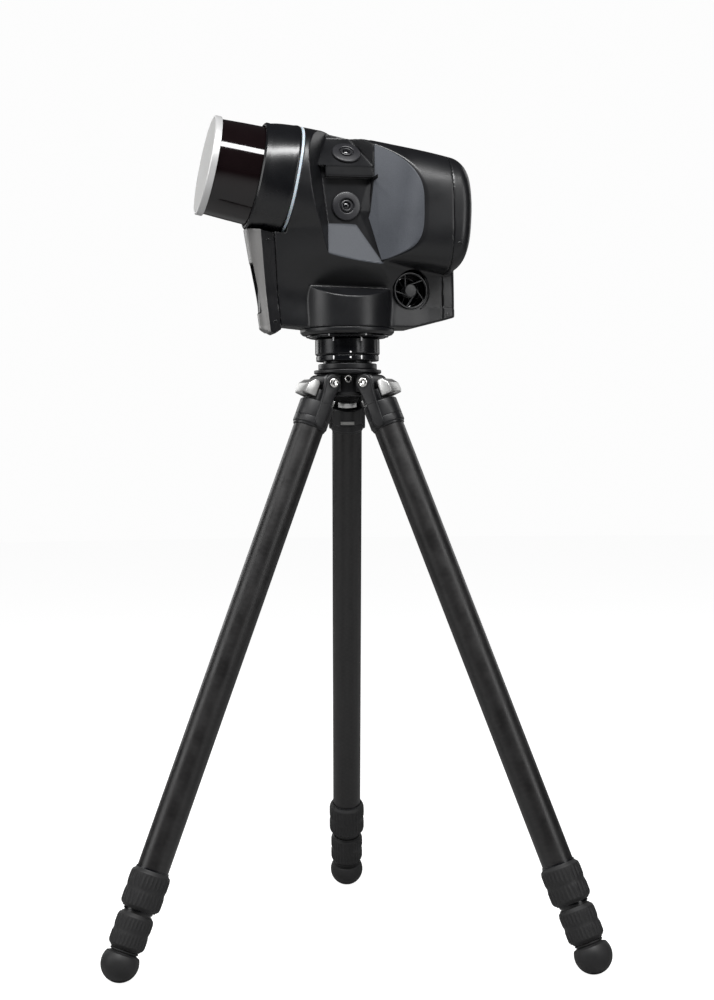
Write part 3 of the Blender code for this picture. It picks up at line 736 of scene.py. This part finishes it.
def normal_at(field, x, y, z):
    """The nearest point of the field's zero level and its normal."""
    point = np.array((x, y, z), float)
    for _ in range(8):
        ends = [(field(*(point + shift)), field(*(point - shift))) for shift in 0.1 * np.eye(3)]
        slope = np.array([(ahead - behind) / 0.2 for ahead, behind in ends])
        point = point - float(field(*point)) * slope / max(float(slope @ slope), 0.05)
    return Vector(point), Vector(slope).normalized()


def standing(point, normal):
    """A place in head coordinates with local Z along the normal."""
    turned_to = normal.to_track_quat("Z", "Y").to_matrix().to_4x4()
    return TRIPOD_AXIS @ Matrix.Translation(point * MM) @ turned_to


STEP = 1.0


def flipped(obj, name):
    """A copy mirrored to the other side of the head's middle plane."""
    mesh = obj.data.copy()
    mesh.transform(Matrix.Diagonal((1, -1, 1, 1)))
    mesh.flip_normals()
    return piece(name, mesh, list(obj.data.materials), obj.matrix_world.copy(), 40.0)


def fan_place(side):
    x, z = FAN_CENTRE
    wall = 27 - (x - 38) * math.tan(math.radians(FAN_LEAN)) * 0.96
    return TRIPOD_AXIS @ place(x, side * wall, z) @ turn(-side * 90, "X") @ turn(FAN_LEAN, "Y")


def camera_places(side):
    lower = TRIPOD_AXIS @ place(-7.5, side * (36.0 + GAP), 692) @ turn(-side * 90, "X")
    lean = math.degrees(math.atan2(43 - 16, 757 - 727.5))
    upper = TRIPOD_AXIS @ place(-6.0, side * 31.2, 740.8) @ turn(-side * (90 - lean), "X")
    return {"lower": lower, "upper": upper @ place(0, 0, GAP)}


def build_shells():
    half = surface_net("housing_half", half_field, (-84, -2.5, 578), (92, 67, 789), STEP, SHELL_LOOK)
    cavity = surface_net("cavity", cavity_field, (-100, -66, 575), (125, 66, 790), 3.0, BLACK)
    port = [(0, 20), (19.2, 20), (19.2, 0.4), (17.7, -0.8), (17.7, -9), (0, -9)]
    ways = [rod(f"lens_way_{level}", 6.4, -12, 10, None, matrix, 32)
            for level, matrix in camera_places(1).items()]
    cut(half, cavity, rod("turret_bore", 41.3, 560, 606, None, TRIPOD_AXIS, 96),
        turned("fan_port", port, BLACK, fan_place(1), 96, 0), *ways)
    other = flipped(half, "housing_left_shell")
    half.name = "housing_right_shell"
    done(half, "scan_head", "satin_black", "housing_right")
    done(other, "scan_head", "satin_black", "housing_left")
    rear = surface_net("rear_cover_shell", rear_shell_field, (86, -68, 578), (118, 68, 789), STEP, SHELL_LOOK)
    done(rear, "scan_head", "satin_black", "rear_cover")
    nose = surface_net("front_cover_shell", nose_field, (-104, -47, 572), (-58, 47, 692), STEP, NOSE_LOOK)
    hollow = surface_net("nose_hollow", nose_hollow_field, (-100, -48, 578), (-34, 48, 690), 2.0, BLACK)
    slot = box("nose_slot", (-102, -SLOT_HALF, 595.1), (-79.0, SLOT_HALF, 642.1), None, TRIPOD_AXIS, 1.5)
    cut(nose, hollow, slot)
    done(nose, "scan_head", "front_cover_grey", "front_cover")
    liner = surface_net("front_slot_liner", liner_field, (-99, -12, 592), (-74, 12, 645), STEP, BLACK)
    cut(liner, box("well", (-105, -8.1, 595.9), (-84.0, 8.1, 641.3), None, TRIPOD_AXIS, 0.4))
    done(liner, "scan_head", "satin_black")


def ring_points(half_width, top, bottom, power, lower, s, sides=192):
    """The squared ellipse of section() as points round the lidar axis."""
    found = []
    for i in range(sides):
        angle = 2 * math.pi * i / sides
        c, d = math.cos(angle), math.sin(angle)
        height, bend = (top, power) if c > 0 else (bottom, lower)
        found.append((height * math.copysign(abs(c) ** (2 / bend), c),
                      half_width * math.copysign(abs(d) ** (2 / bend), d), -s))
    return found


def lofted(name, rings, look, matrix, soft=0.0):
    bm = bmesh.new()
    loops = [[bm.verts.new(Vector(point) * MM) for point in ring] for ring in rings]
    count = len(loops[0])
    for lower, upper in zip(loops, loops[1:]):
        for i in range(count):
            j = (i + 1) % count
            bm.faces.new((lower[i], lower[j], upper[j], upper[i]))
    bm.faces.new(loops[0][::-1])
    bm.faces.new(loops[-1])
    made = piece(name, mesh_from(name, bm), look, matrix)
    return rounded(made, soft) if soft else made


def build_side_panels():
    for side, word in FLANKS:
        rings = []
        for s in np.linspace(COLLAR_SEAT, 254, 70):
            sizes = [float(curve(s)) - (0.55 if i < 3 else 0) for i, curve in enumerate(BARREL_CURVES)]
            rings.append(ring_points(*sizes, s))
        panel = lofted(f"side_panel_{word}_insert", rings, GREY, LIDAR_AXIS)
        edge = [(18.2, 43.0, 752), (18.0, 43.0, 720), (14.2, 41.2, 687), (12.6, 40.4, 681),
                (23.6, 45.4, 640.5), (80, 70.3, 640.5), (80, 70.3, 760), (18.2, 43.0, 760)]
        inner, outer = [], []
        for x, y, z in edge:
            inner.append((x, side * (y + 0.25), z))
            outer.append((x, side * (y + 1.15), z))
        slab = prism("panel_slab", inner, outer)
        boolean(panel, "INTERSECT", slab)
        done(rounded(panel, 0.25, 2, 50.0), "scan_head", "textured_grey", f"side_panel_{word}")


def build_lidar():
    """Cap, window, base, collar and light ring."""
    profile = [(0, -0.15), (CAP_R - 2.2, -0.15), (CAP_R - 1.9, 0), (CAP_R - 0.9, 0), (CAP_R, -0.9),
               (CAP_R, -6.5), (41.0, -6.5), (41.0, -10), (0, -10)]
    cap = turned("lidar_cap_disc", profile, [CAP_FACE, CAP_EDGE], LIDAR_AXIS, 160, 0.3)
    for face in cap.data.polygons:
        on_face = math.hypot(face.center.x, face.center.y) < (CAP_R - 2.1) * MM
        face.material_index = 0 if on_face else 1
    done(cap, "scan_head", "satin_silver", "lidar_cap")
    profile = [(44.3, -6.8), (44.8, -16), (45.4, -28), (46.1, -47), (46.1, -50), (43.2, -50), (41.6, -6.8)]
    window = turned("lidar_window_sleeve", profile, WINDOW, LIDAR_AXIS, 160, 0.3)
    done(window, "scan_head", "tinted_window", "lidar_window")
    profile = [(0, -72), (4.6, -72), (4.6, -50.4), (45.0, -50.4), (46.0, -51.4), (46.0, -62), (30, -62),
               (30, -80.8), (0, -80.8)]
    base = turned("lidar_base_ring", profile, BLACK, LIDAR_AXIS, 128, 0.3)
    done(base, "scan_head", "satin_black", "lidar_base")
    rows = ((47.0, 48.9, 48.9, 2), (47.35, 49.4, 49.4, 2), (52, 50.5, 50.1, 2.06), (57, 51.9, 51.1, 2.14),
            (64, 53.9, 51.8, 2.25), (72, 56.1, 52.2, 2.36), (77.6, 57.1, 52.3, 2.42), (78.2, 56.8, 51.9, 2.42))
    curves = [spline([r[0] for r in rows], [r[i] for r in rows]) for i in (1, 2, 2, 3, 3)]
    stations = [47.0, 47.15, 47.4] + list(np.linspace(48.5, 77.5, 18)) + [77.9, 78.2]
    rings = [ring_points(*(float(curve(s)) for curve in curves), s) for s in stations]
    collar = lofted("lidar_collar_shell", rings, COLLAR_LOOK, LIDAR_AXIS)
    under = box("under", (-80, -90, -90), (NOSE_CUT + 0.4, 90, -30), None, LIDAR_AXIS)
    cut(collar, rod("collar_bore", 47.4, -90, -30, None, LIDAR_AXIS, 160), under)
    done(collar, "scan_head", "satin_black", "lidar_collar")
    rows = ((78.5, 57.1, 52.1), (78.8, 57.4, 52.3), (80.6, 57.45, 52.35), (80.9, 57.2, 52.1))
    rings = [ring_points(wide, high, high, 2.43, 2.43, s) for s, wide, high in rows]
    strip = lofted("light_ring_strip", rings, LIGHT, LIDAR_AXIS)
    cut(strip, rod("strip_bore", 47.4, -90, -30, None, LIDAR_AXIS, 160))
    done(strip, "scan_head", "status_light", "light_ring")


def build_cameras():
    for side, word in FLANKS:
        for level, matrix in camera_places(side).items():
            profile = [(0, 1.3), (3.3, 1.3), (3.6, 2.9), (4.5, 3.1), (5.3, 2.7), (5.5, 1.2), (6.6, 1.2),
                       (6.9, 2.6), (7.6, 2.9), (11.6, 2.3), (12.7, 2.0), (13.3, 1.3), (13.3, 0), (6.0, 0),
                       (6.0, -9), (0, -9)]
            body = turned(f"camera_{level}_{word}_bezel", profile, BEZEL, matrix, 96, 0.25)
            done(body, "scan_head", "satin_black", f"camera_{level}_{word}")
            profile = [(0, 3.0), (1.2, 2.9), (2.4, 2.4), (3.15, 1.75), (3.15, 1.45), (0, 1.45)]
            glass = turned(f"camera_{level}_{word}_lens", profile, LENS, matrix, 48, 0.1)
            done(glass, "scan_head", "tinted_window")


def build_fan():
    for side, word in FLANKS:
        where = fan_place(side)
        profile = [(17.3, 0.5), (17.3, -1.8), (15.4, -1.8), (15.1, 0.1), (15.9, 0.7), (16.8, 0.7)]
        guard = turned(f"fan_guard_{word}_ring", profile, BLACK, where, 96, 0.3)
        profile = [(0, 0.35), (5.6, 0.2), (6.8, -0.3), (6.8, -1.8), (0, -1.8)]
        hub = turned("hub", profile, BLACK, where, 64, 0.3)
        struts = [box("strut", (2.0, 4.9, -1.6), (15.9, 6.2, 0.05), None, where @ turn(18 + 72 * i, "Z"), 0.3)
                  for i in range(5)]
        join(guard, hub, *struts)
        done(guard, "scan_head", "satin_black", f"fan_guard_{word}")
        crescent = [(x, side * y) for x, y in arc(20.2, -58, 58, 29) + arc(19.2, 58, -58, 29)]
        lip = extruded(f"fan_lip_{word}", crescent, -0.7, 0.75, BLACK, where, 0.25)
        done(lip, "scan_head", "satin_black")
    axle = TRIPOD_AXIS @ place(FAN_CENTRE[0], 0, FAN_CENTRE[1]) @ turn(90, "X")
    profile = [(13.9, 8.5), (19.5, 8.5), (19.5, -8.5), (13.9, -8.5)]
    duct = turned("fan_duct_sleeve", profile, BLACK, axle, 64, 0.3)
    done(duct, "scan_head", "satin_black")
    rotor = rod("cooling_fan_rotor", 5.6, -8, 8, BLACK, axle, 48)
    join(rotor, rod("backplate", 13.3, -0.6, 0.6, None, axle, 64))
    for i in range(9):
        corners = []
        for level, twist in ((-7.5, 0), (7.5, 44)):
            for radius, wide in ((5.0, 9), (13.2, 4.0)):
                for edge in (0, wide):
                    angle = math.radians(40 * i + twist + edge)
                    corners.append((radius * math.cos(angle), radius * math.sin(angle), level))
        join(rotor, hull("blade", corners, None, axle))
    done(rotor, "fan", "satin_black", "cooling_fan")


def screw(name, matrix, radius=2.1):
    """A socket-head screw, standing a hair proud."""
    profile = [(0, 0.30), (radius - 0.35, 0.30), (radius, 0.0), (radius, -1.2), (0, -1.2)]
    head = turned(name, profile, SCREW, matrix, 32, 0.15)
    cut(head, extruded("socket", arc(0.55 * radius, 0, 300, 5), -0.8, 2.0, SCREW, matrix, 0))
    return done(head, "scan_head", "polished_steel")


def build_head_screws():
    spots = [("nose", nose_field, (-78.5, 24, 661)), ("nose", nose_field, (-71.2, 18, 586.5)),
             ("rear", rear_field, (93.6, 40, 725)), ("rear", rear_field, (94.2, 56, 657)),
             ("rear", rear_field, (93.6, 17, 594))]
    for side, word in FLANKS:
        for i, (group, field, (x, y, z)) in enumerate(spots):
            point, normal = normal_at(field, x, side * y, z)
            screw(f"screw_{group}_{word}_{i}", standing(point, normal))
        for i, (x, y, z) in enumerate(((-55, 20, 762.8), (-68.2, 48, 688.4))):
            s, t = along_lidar(x, z)
            wide, high = 50.5 + (s - 52) * 0.255, 50.3 + (s - 52) * 0.07

            def field(a, b, c):
                return section(along_lidar(a, c)[1], b, wide, high, high, 2.2, 2.2)

            point, normal = normal_at(field, x, wide * math.sin(math.atan2(side * y, t)), z)
            screw(f"screw_collar_{word}_{i}", standing(point, normal), 1.7)


def build_turret():
    profile = [(24.3, 585.5), (27.5, 585.5), (27.5, 581.0), (40.8, 581.0), (43.7, 581.0), (44.3, 580.4),
               (44.3, 577.6), (42.2, 575.3), (24.3, 575.3)]
    floor = turned("turret_floor_rim", profile, BLACK, TRIPOD_AXIS, 160, 0.35)
    done(floor, "scan_head", "satin_black", "turret_floor")
    inner_parts = {"lidar_rotor": BLACK, "bearing_inner_race": STEEL, "bearing_outer_race": STEEL,
                   "pan_ring_gear": STEEL, "pan_pinion": STEEL, "pan_motor": BLACK, "battery_pack": CELL,
                   "main_board": BOARD}
    for node_name, look in inner_parts.items():
        data = frame["nodes"][node_name].data
        data.materials.clear()
        data.materials.append(look)


# ---------------------------------------------------------------- stack and tripod


def build_stack():
    def grip(angle, radius, z):
        """Broad shallow flats round the clamp ring."""
        return -0.35 * max(0.0, math.cos(9 * angle)) ** 8 if radius > 29.5 and 558.6 < z < 570.0 else 0.0

    profile = [(0, 601), (16, 601), (16, 575.9), (21.5, 574.9), (38.9, 574.9), (38.9, 573.5), (36.0, 573.1),
               (36.0, 572.5), (0, 572.5)]
    adapter = turned("head_adapter_disc", profile, ANODISED, TRIPOD_AXIS, 128, 0.25)
    done(adapter, "tripod_head", "black_anodised", "head_adapter")
    profile = [(16.2, 572.2), (29.0, 572.2), (30.4, 570.8), (30.4, 569.6), (30.4, 558.9), (30.4, 557.4),
               (29.3, 556.3), (16.2, 556.3)]
    ring = turned("clamp_ring_sleeve", profile, ANODISED, TRIPOD_AXIS, 144, 0.3, grip)
    done(ring, "clamp_ring", "black_anodised", "clamp_ring")
    profile = [(0, 569), (15.6, 569), (15.6, 556.3), (21.5, 556.0), (29.0, 556.0), (29.5, 555.5),
               (29.5, 551.3), (29.0, 550.8), (22.9, 550.8), (22.9, 548.6), (0, 548.6)]
    base = turned("quick_release_body", profile, ANODISED, TRIPOD_AXIS, 128, 0.25)
    done(base, "tripod_head", "black_anodised", "quick_release_base")
    profile = [(0, 548.3), (27.0, 548.3), (27.6, 547.7), (27.6, 543.3), (27.0, 542.7), (0, 542.7)]
    plate = turned("top_plate_disc", profile, CAST, TRIPOD_AXIS, 128, 0.25)
    done(plate, "tripod_head", "black_anodised", "top_plate")
    for word, body, radius, z, kinds in (
            ("adapter", "tripod_head", 38.9, 574.2, (("dot", -26.2), ("dot", 26.2))),
            ("ring", "clamp_ring", 30.4, 558.3, (("dot", 5.4),)),
            ("crown", "clamp_ring", 30.4, 570.4, (("bar", -25.6), ("bar", 25.6))),
            ("base", "tripod_head", 29.5, 553.4, (("bar", -26.2), ("dot", 5.4), ("bar", 26.2)))):
        for i, (kind, turn_by) in enumerate(kinds):
            out = TRIPOD_AXIS @ turn(FRONT + turn_by, "Z") @ place(radius, 0, z) @ turn(90, "Y")
            if kind == "dot":
                profile = [(0, 0.14), (0.8, 0.1), (1.0, -0.3), (0, -0.3)]
                mark = turned(f"index_{word}_{i}", profile, MARK, out, 24, 0.05)
            else:
                mark = box(f"index_{word}_{i}", (-1.7, -0.65, -0.4), (1.7, 0.65, 0.14), MARK, out, 0.12)
            done(mark, body, "satin_silver")


def hinge_of(side):
    """Local -Z runs down the leg, +Y along the hinge and +X outward."""
    fold = JOINTS[f"leg_fold_{side}"]
    out = Vector(JOINTS[f"tab_pull_{side}"]["axis"])
    across = Vector(fold["axis"])
    up = -Vector(JOINTS[f"middle_extend_{side}"]["axis"])
    made = Matrix((out, across, up)).transposed().to_4x4()
    made.translation = Vector(fold["pos_m"])
    return made


def level_hinge(side):
    """The same hinge before the leg leans: +X outward and level, +Z up."""
    axis = Vector(JOINTS[f"leg_fold_{side}"]["axis"])
    out = Vector((axis.y, -axis.x, 0))
    made = Matrix((out, axis, Vector((0, 0, 1)))).transposed().to_4x4()
    made.translation = Vector(JOINTS[f"leg_fold_{side}"]["pos_m"])
    return made


def build_spider():
    profile = [(0, 542.4), (31.2, 542.4), (31.7, 541.9), (31.7, 539.6), (30.8, 539.0), (24.0, 538.4),
               (19.0, 537.0), (19.0, 521), (17.0, 518), (0, 518)]
    hub = turned("spider_crown", profile, CAST, TRIPOD_AXIS, 96, 0.3)
    parts = []
    for side in SIDES:
        hinge = level_hinge(side) @ turn(90, "X")
        knuckle = [(0, 12), (7.6, 12), (8.4, 11.2), (8.4, -11.2), (7.6, -12), (0, -12)]
        parts.append(turned("knuckle", knuckle, CAST, hinge, 64, 0.2))
        parts.append(box("arm", (-19, -8.3, -12), (0, 10, 12), None, hinge, 0.5))
    join(hub, *parts)
    cut(hub, *[rod("bore", 3.4, -40, 40, None, level_hinge(side) @ turn(90, "X"), 32) for side in SIDES])
    done(hub, "tripod_head", "black_anodised", "spider")
    front = TRIPOD_AXIS @ turn(259.5, "Z") @ place(0, 0, 533.8) @ turn(90, "Y")
    profile = [(1.9, 21.6), (2.3, 22.5), (3.1, 22.8), (3.5, 22.3), (3.5, 19.3), (1.9, 19.3)]
    plug = turned("front_plug_ring", profile, STEEL, front, 48, 0.2)
    done(plug, "tripod_head", "polished_steel", "front_plug")
    profile = [(0, 21.4), (1.75, 21.4), (1.75, 19.3), (0, 19.3)]
    dark = turned("front_plug_core", profile, SCREW, front, 32, 0.1)
    done(dark, "tripod_head", "black_anodised")


def lock_piece(name, outer, inner, top, bottom, hinge):
    """A twist lock: a rubber sleeve in two ribbed bands with a waist between them, necked at both ends."""
    ribs = 30
    middle = (top + bottom) / 2
    bands = ((top + 3.6, middle - 1.6), (middle + 1.6, bottom - 3.4))

    def ribbed(angle, radius, z):
        depth = -z
        if radius < outer - 1.2:
            return 0.0
        for start, end in bands:
            if start <= depth <= end:
                edge = min(1.0, (depth - start) / 1.2, (end - depth) / 1.2)
                return (0.42 * max(-0.4, math.cos(ribs * angle))) * max(0.0, edge)
        return 0.0

    body = outer - 0.5
    profile = [(inner, -top), (outer - 3.0, -top), (outer - 2.6, -(top + 0.9)), (body - 0.5, -(top + 2.2)),
               (body, -(top + 3.4))]
    for start, end in bands:
        for i in range(7):
            bulge = 0.08 * math.sin(math.pi * i / 6)
            profile.append((body + bulge, -(start + (end - start) * i / 6)))
        if end < middle:
            profile.append((body - 0.28, -(middle)))
    profile += [(body - 0.9, -(bottom - 2.0)), (outer - 3.0, -(bottom - 0.8)), (outer - 3.3, -bottom),
                (inner, -bottom)]
    return turned(name, profile, RUBBER, hinge, ribs * 8, 0.0, ribbed)


def build_leg(side):
    hinge = hinge_of(side)
    leg = f"leg_{side}"
    across = turn(90, "X")
    profile = [(14.5, -20.6), (15.6, -20.9), (16.4, -21.8), (16.4, -36.2), (16.1, -36.5), (16.1, -36.9),
               (16.4, -37.2), (16.4, -42.6), (16.0, -43.3), (15.5, -43.6), (15.4, -45.2), (14.9, -45.7),
               (14.55, -45.7), (14.55, -26.6), (0, -26.6), (0, -20.6)]
    socket = turned(f"leg_yoke_{side}_socket", profile, CAST, hinge, 96, 0.25)
    outline = arc(8.2, -20, 200, 22) + [(-6.3, -13), (-5.8, -24), (-5.6, -38.5)]
    outline += arc(5.6, 190, 350, 10, -39.5, 5.4) + [(5.6, -38.5), (5.8, -24), (6.3, -13)]
    cheeks = [extruded("cheek", outline, low, low + 5.1, CAST, hinge @ across, 1.5, 4)
              for low in (12.3, -17.4)]
    join(socket, *cheeks, box("web", (0.5, -12.6, -21.5), (9.2, 12.6, -10.2), None, hinge, 0.5))
    seams = [box("seam", (-9, a, -21.7), (9, b, -21.15), None, hinge)
             for a, b in ((16.95, 19), (-19, -16.95))]
    cut(socket, *seams)
    seats = [rod("bolt_seat", 5.4, a, b, None, hinge @ across, 48) for a, b in ((16.9, 22), (-22, -16.9))]
    cut(socket, rod("bolt_way", 3.4, -20, 20, None, hinge @ across, 32), *seats)
    done(socket, leg, "black_anodised", f"leg_yoke_{side}")
    profile = [(0, 18.5), (1.9, 18.5), (2.1, 19.5), (2.9, 19.9), (4.2, 19.5), (4.9, 18.4), (4.9, 17.2),
               (3.0, 17.2), (3.0, -17.2), (4.9, -17.2), (4.9, -18.4), (4.2, -19.5), (2.9, -19.9),
               (2.1, -19.5), (1.9, -18.5), (0, -18.5)]
    bolt = turned(f"hinge_bolt_{side}_pin", profile, STEEL, hinge @ across, 64, 0.2)
    done(bolt, "tripod_head", "polished_steel", f"hinge_bolt_{side}")
    tab_line = [(9.7, -18.2), (9.7, -5.0), (11.8, -2.4), (16.0, -2.6), (20.8, -8.6), (21.4, -15.6),
                (20.2, -18.2)]
    tab = extruded(f"angle_tab_{side}_grip", tab_line, -11, 11, SILVER, hinge @ across, 0.9, 3)
    notches = [rod("notch", 4.6, -2, 30, None, hinge @ place(0, y, -21.6) @ turn(90, "Y"), 48)
               for y in (-5.0, 5.0)]
    cut(tab, *notches)
    done(tab, f"tab_{side}", "satin_silver", f"angle_tab_{side}")
    band_line = arc(15.2, 144, 216, 24) + arc(12.9, 216, 144, 24)
    band = extruded(f"tab_band_{side}", band_line, -18.3, -13.5, SILVER, hinge, 0.4)
    done(band, f"tab_{side}", "satin_silver")
    tubes = (("upper", 14.35, 27, 500, leg), ("middle", 12.5, 40, 536, f"middle_section_{side}"),
             ("lower", 10.8, 52, 544.6, f"lower_section_{side}"))
    for word, radius, top, bottom, body in tubes:
        inner = radius - 1.5
        stations = np.linspace(-top - 1, -bottom + 1, 12)
        profile = [(radius, -top)] + [(radius, float(z)) for z in stations]
        profile += [(radius, -bottom), (inner, -bottom), (inner, -top)]
        made = turned(f"{word}_tube_{side}_wall", profile, CARBON, hinge, 96, 0.25)
        done(made, body, "carbon_tube", f"{word}_tube_{side}")
    upper = lock_piece(f"upper_lock_{side}_sleeve", 18.3, 14.9, 473.1, 508.4, hinge)
    done(upper, f"upper_collar_{side}", "rubber", f"upper_lock_{side}")
    lower = lock_piece(f"lower_lock_{side}_sleeve", 16.7, 13.0, 512.4, 544.4, hinge)
    done(lower, f"lower_collar_{side}", "rubber", f"lower_lock_{side}")
    seals = (("upper", 15.2, 471.6, 473.4, leg), ("lower", 13.4, 509.0, 510.6, f"middle_section_{side}"))
    for word, radius, low, high, body in seals:
        profile = [(radius - 0.7, -low), (radius, -low), (radius, -high), (radius - 0.7, -high)]
        seal = turned(f"{word}_seal_{side}", profile, ANODISED, hinge, 96, 0.1)
        done(seal, body, "black_anodised")
    ball = arc(17.2, 28, -87, 23, -557.2)
    profile = [(0, -544.9), (12.4, -544.9), (12.9, -545.4), (12.9, -546.6), (11.6, -547.2), (12.4, -548.0),
               (14.0, -548.6)] + ball + [(0, -574.4)]
    foot = turned(f"foot_{side}_ball", profile, RUBBER, hinge, 96, 0.25)
    sole = hinge @ place(0, 0, -557.2)
    floor = Matrix.Translation((sole.translation.x, sole.translation.y, 0))
    cut(foot, box("floor_cut", (-40, -40, -40), (40, 40, 0.02), None, floor))
    done(foot, f"lower_section_{side}", "rubber", f"foot_{side}")
    if side == "rear":
        blank = box("collar_plate", (-6.6, -1.7, -0.4), (6.6, 1.7, 0.45), PLATE,
                    hinge @ place(-16.35, 0, -33.2) @ turn(-90, "Y") @ turn(90, "Z"), 0.2)
        done(blank, leg, "satin_silver")


# ---------------------------------------------------------------- camera, lights and studio


def build_camera():
    data = bpy.data.cameras.new("camera")
    data.lens = 66.65
    data.sensor_fit = "AUTO"
    data.sensor_width = 36
    data.shift_x = 0.00805
    camera = bpy.data.objects.new("camera", data)
    bpy.context.scene.collection.objects.link(camera)
    azimuth = math.radians(258)
    eye = Vector((AXIS.x * MM + 1.75 * math.cos(azimuth), AXIS.y * MM + 1.75 * math.sin(azimuth), 0.4596))
    camera.matrix_world = Matrix.Translation(eye) @ turn(78 - 90, "Z") @ turn(90 - 1.294, "X") @ turn(-0.59,
                                                                                                      "Z")
    data.clip_start, data.clip_end = 0.05, 60
    bpy.context.scene.camera = camera


def soft_box(name, azimuth, height, distance, width, tall, power, tint=(1, 1, 1)):
    """An area light that faces the head."""
    data = bpy.data.lights.new(name, "AREA")
    data.shape = "RECTANGLE"
    data.size, data.size_y = width, tall
    data.energy = power
    data.color = tint
    made = bpy.data.objects.new(name, data)
    bpy.context.scene.collection.objects.link(made)
    angle = math.radians(azimuth)
    target = Vector((AXIS.x * MM, AXIS.y * MM, 0.55))
    made.location = (target.x + distance * math.cos(angle), target.y + distance * math.sin(angle), height)
    made.rotation_euler = (target - made.location).to_track_quat("-Z", "Y").to_euler()


def build_studio():
    bm = bmesh.new()
    bmesh.ops.create_circle(bm, cap_ends=True, segments=96, radius=9.0)
    floor = piece("studio_floor", mesh_from("studio_floor", bm), BLACK)
    floor.location = (0, 0, -0.0004)
    look = surface("pale_floor", (0.40, 0.40, 0.40), (0.43, 0.43, 0.43), (0.80, 0.90), 40.0, 0.02, 3.0)
    shader = look.node_tree.nodes["Principled BSDF"]
    shader.inputs["Emission Color"].default_value = (1, 1, 1, 1)
    path = add(look.node_tree, "LightPath", {})
    glow = ramp(look.node_tree, path.outputs["Is Camera Ray"], 0.0, 0.95, 0, 1)
    look.node_tree.links.new(glow, shader.inputs["Emission Strength"])
    floor.data.materials.clear()
    floor.data.materials.append(look)
    soft_box("key_left", 190, 1.1, 1.9, 0.9, 1.5, 13)
    soft_box("key_right", 309, 1.1, 2.1, 0.6, 1.4, 11)
    soft_box("strip_top", 258, 1.97, 1.06, 1.8, 0.36, 56)
    soft_box("rim_left", 120, 1.2, 2.2, 0.9, 1.6, 11)
    soft_box("rim_right", 36, 1.2, 2.2, 0.9, 1.6, 6)
    world = bpy.data.worlds.new("studio")
    bpy.context.scene.world = world
    world.use_nodes = True
    tree = world.node_tree
    background = tree.nodes["Background"]
    background.inputs["Color"].default_value = (1, 1, 1, 1)
    level = ramp(tree, add(tree, "LightPath", {}).outputs["Is Camera Ray"], 0.03, 0.98, 0, 1)
    tree.links.new(level, background.inputs["Strength"])
    bpy.context.scene.view_settings.view_transform = "Standard"


build_camera()
build_studio()
build_shells()
build_side_panels()
build_lidar()
build_cameras()
build_fan()
build_head_screws()
build_turret()
build_stack()
build_spider()
for leg_side in SIDES:
    build_leg(leg_side)
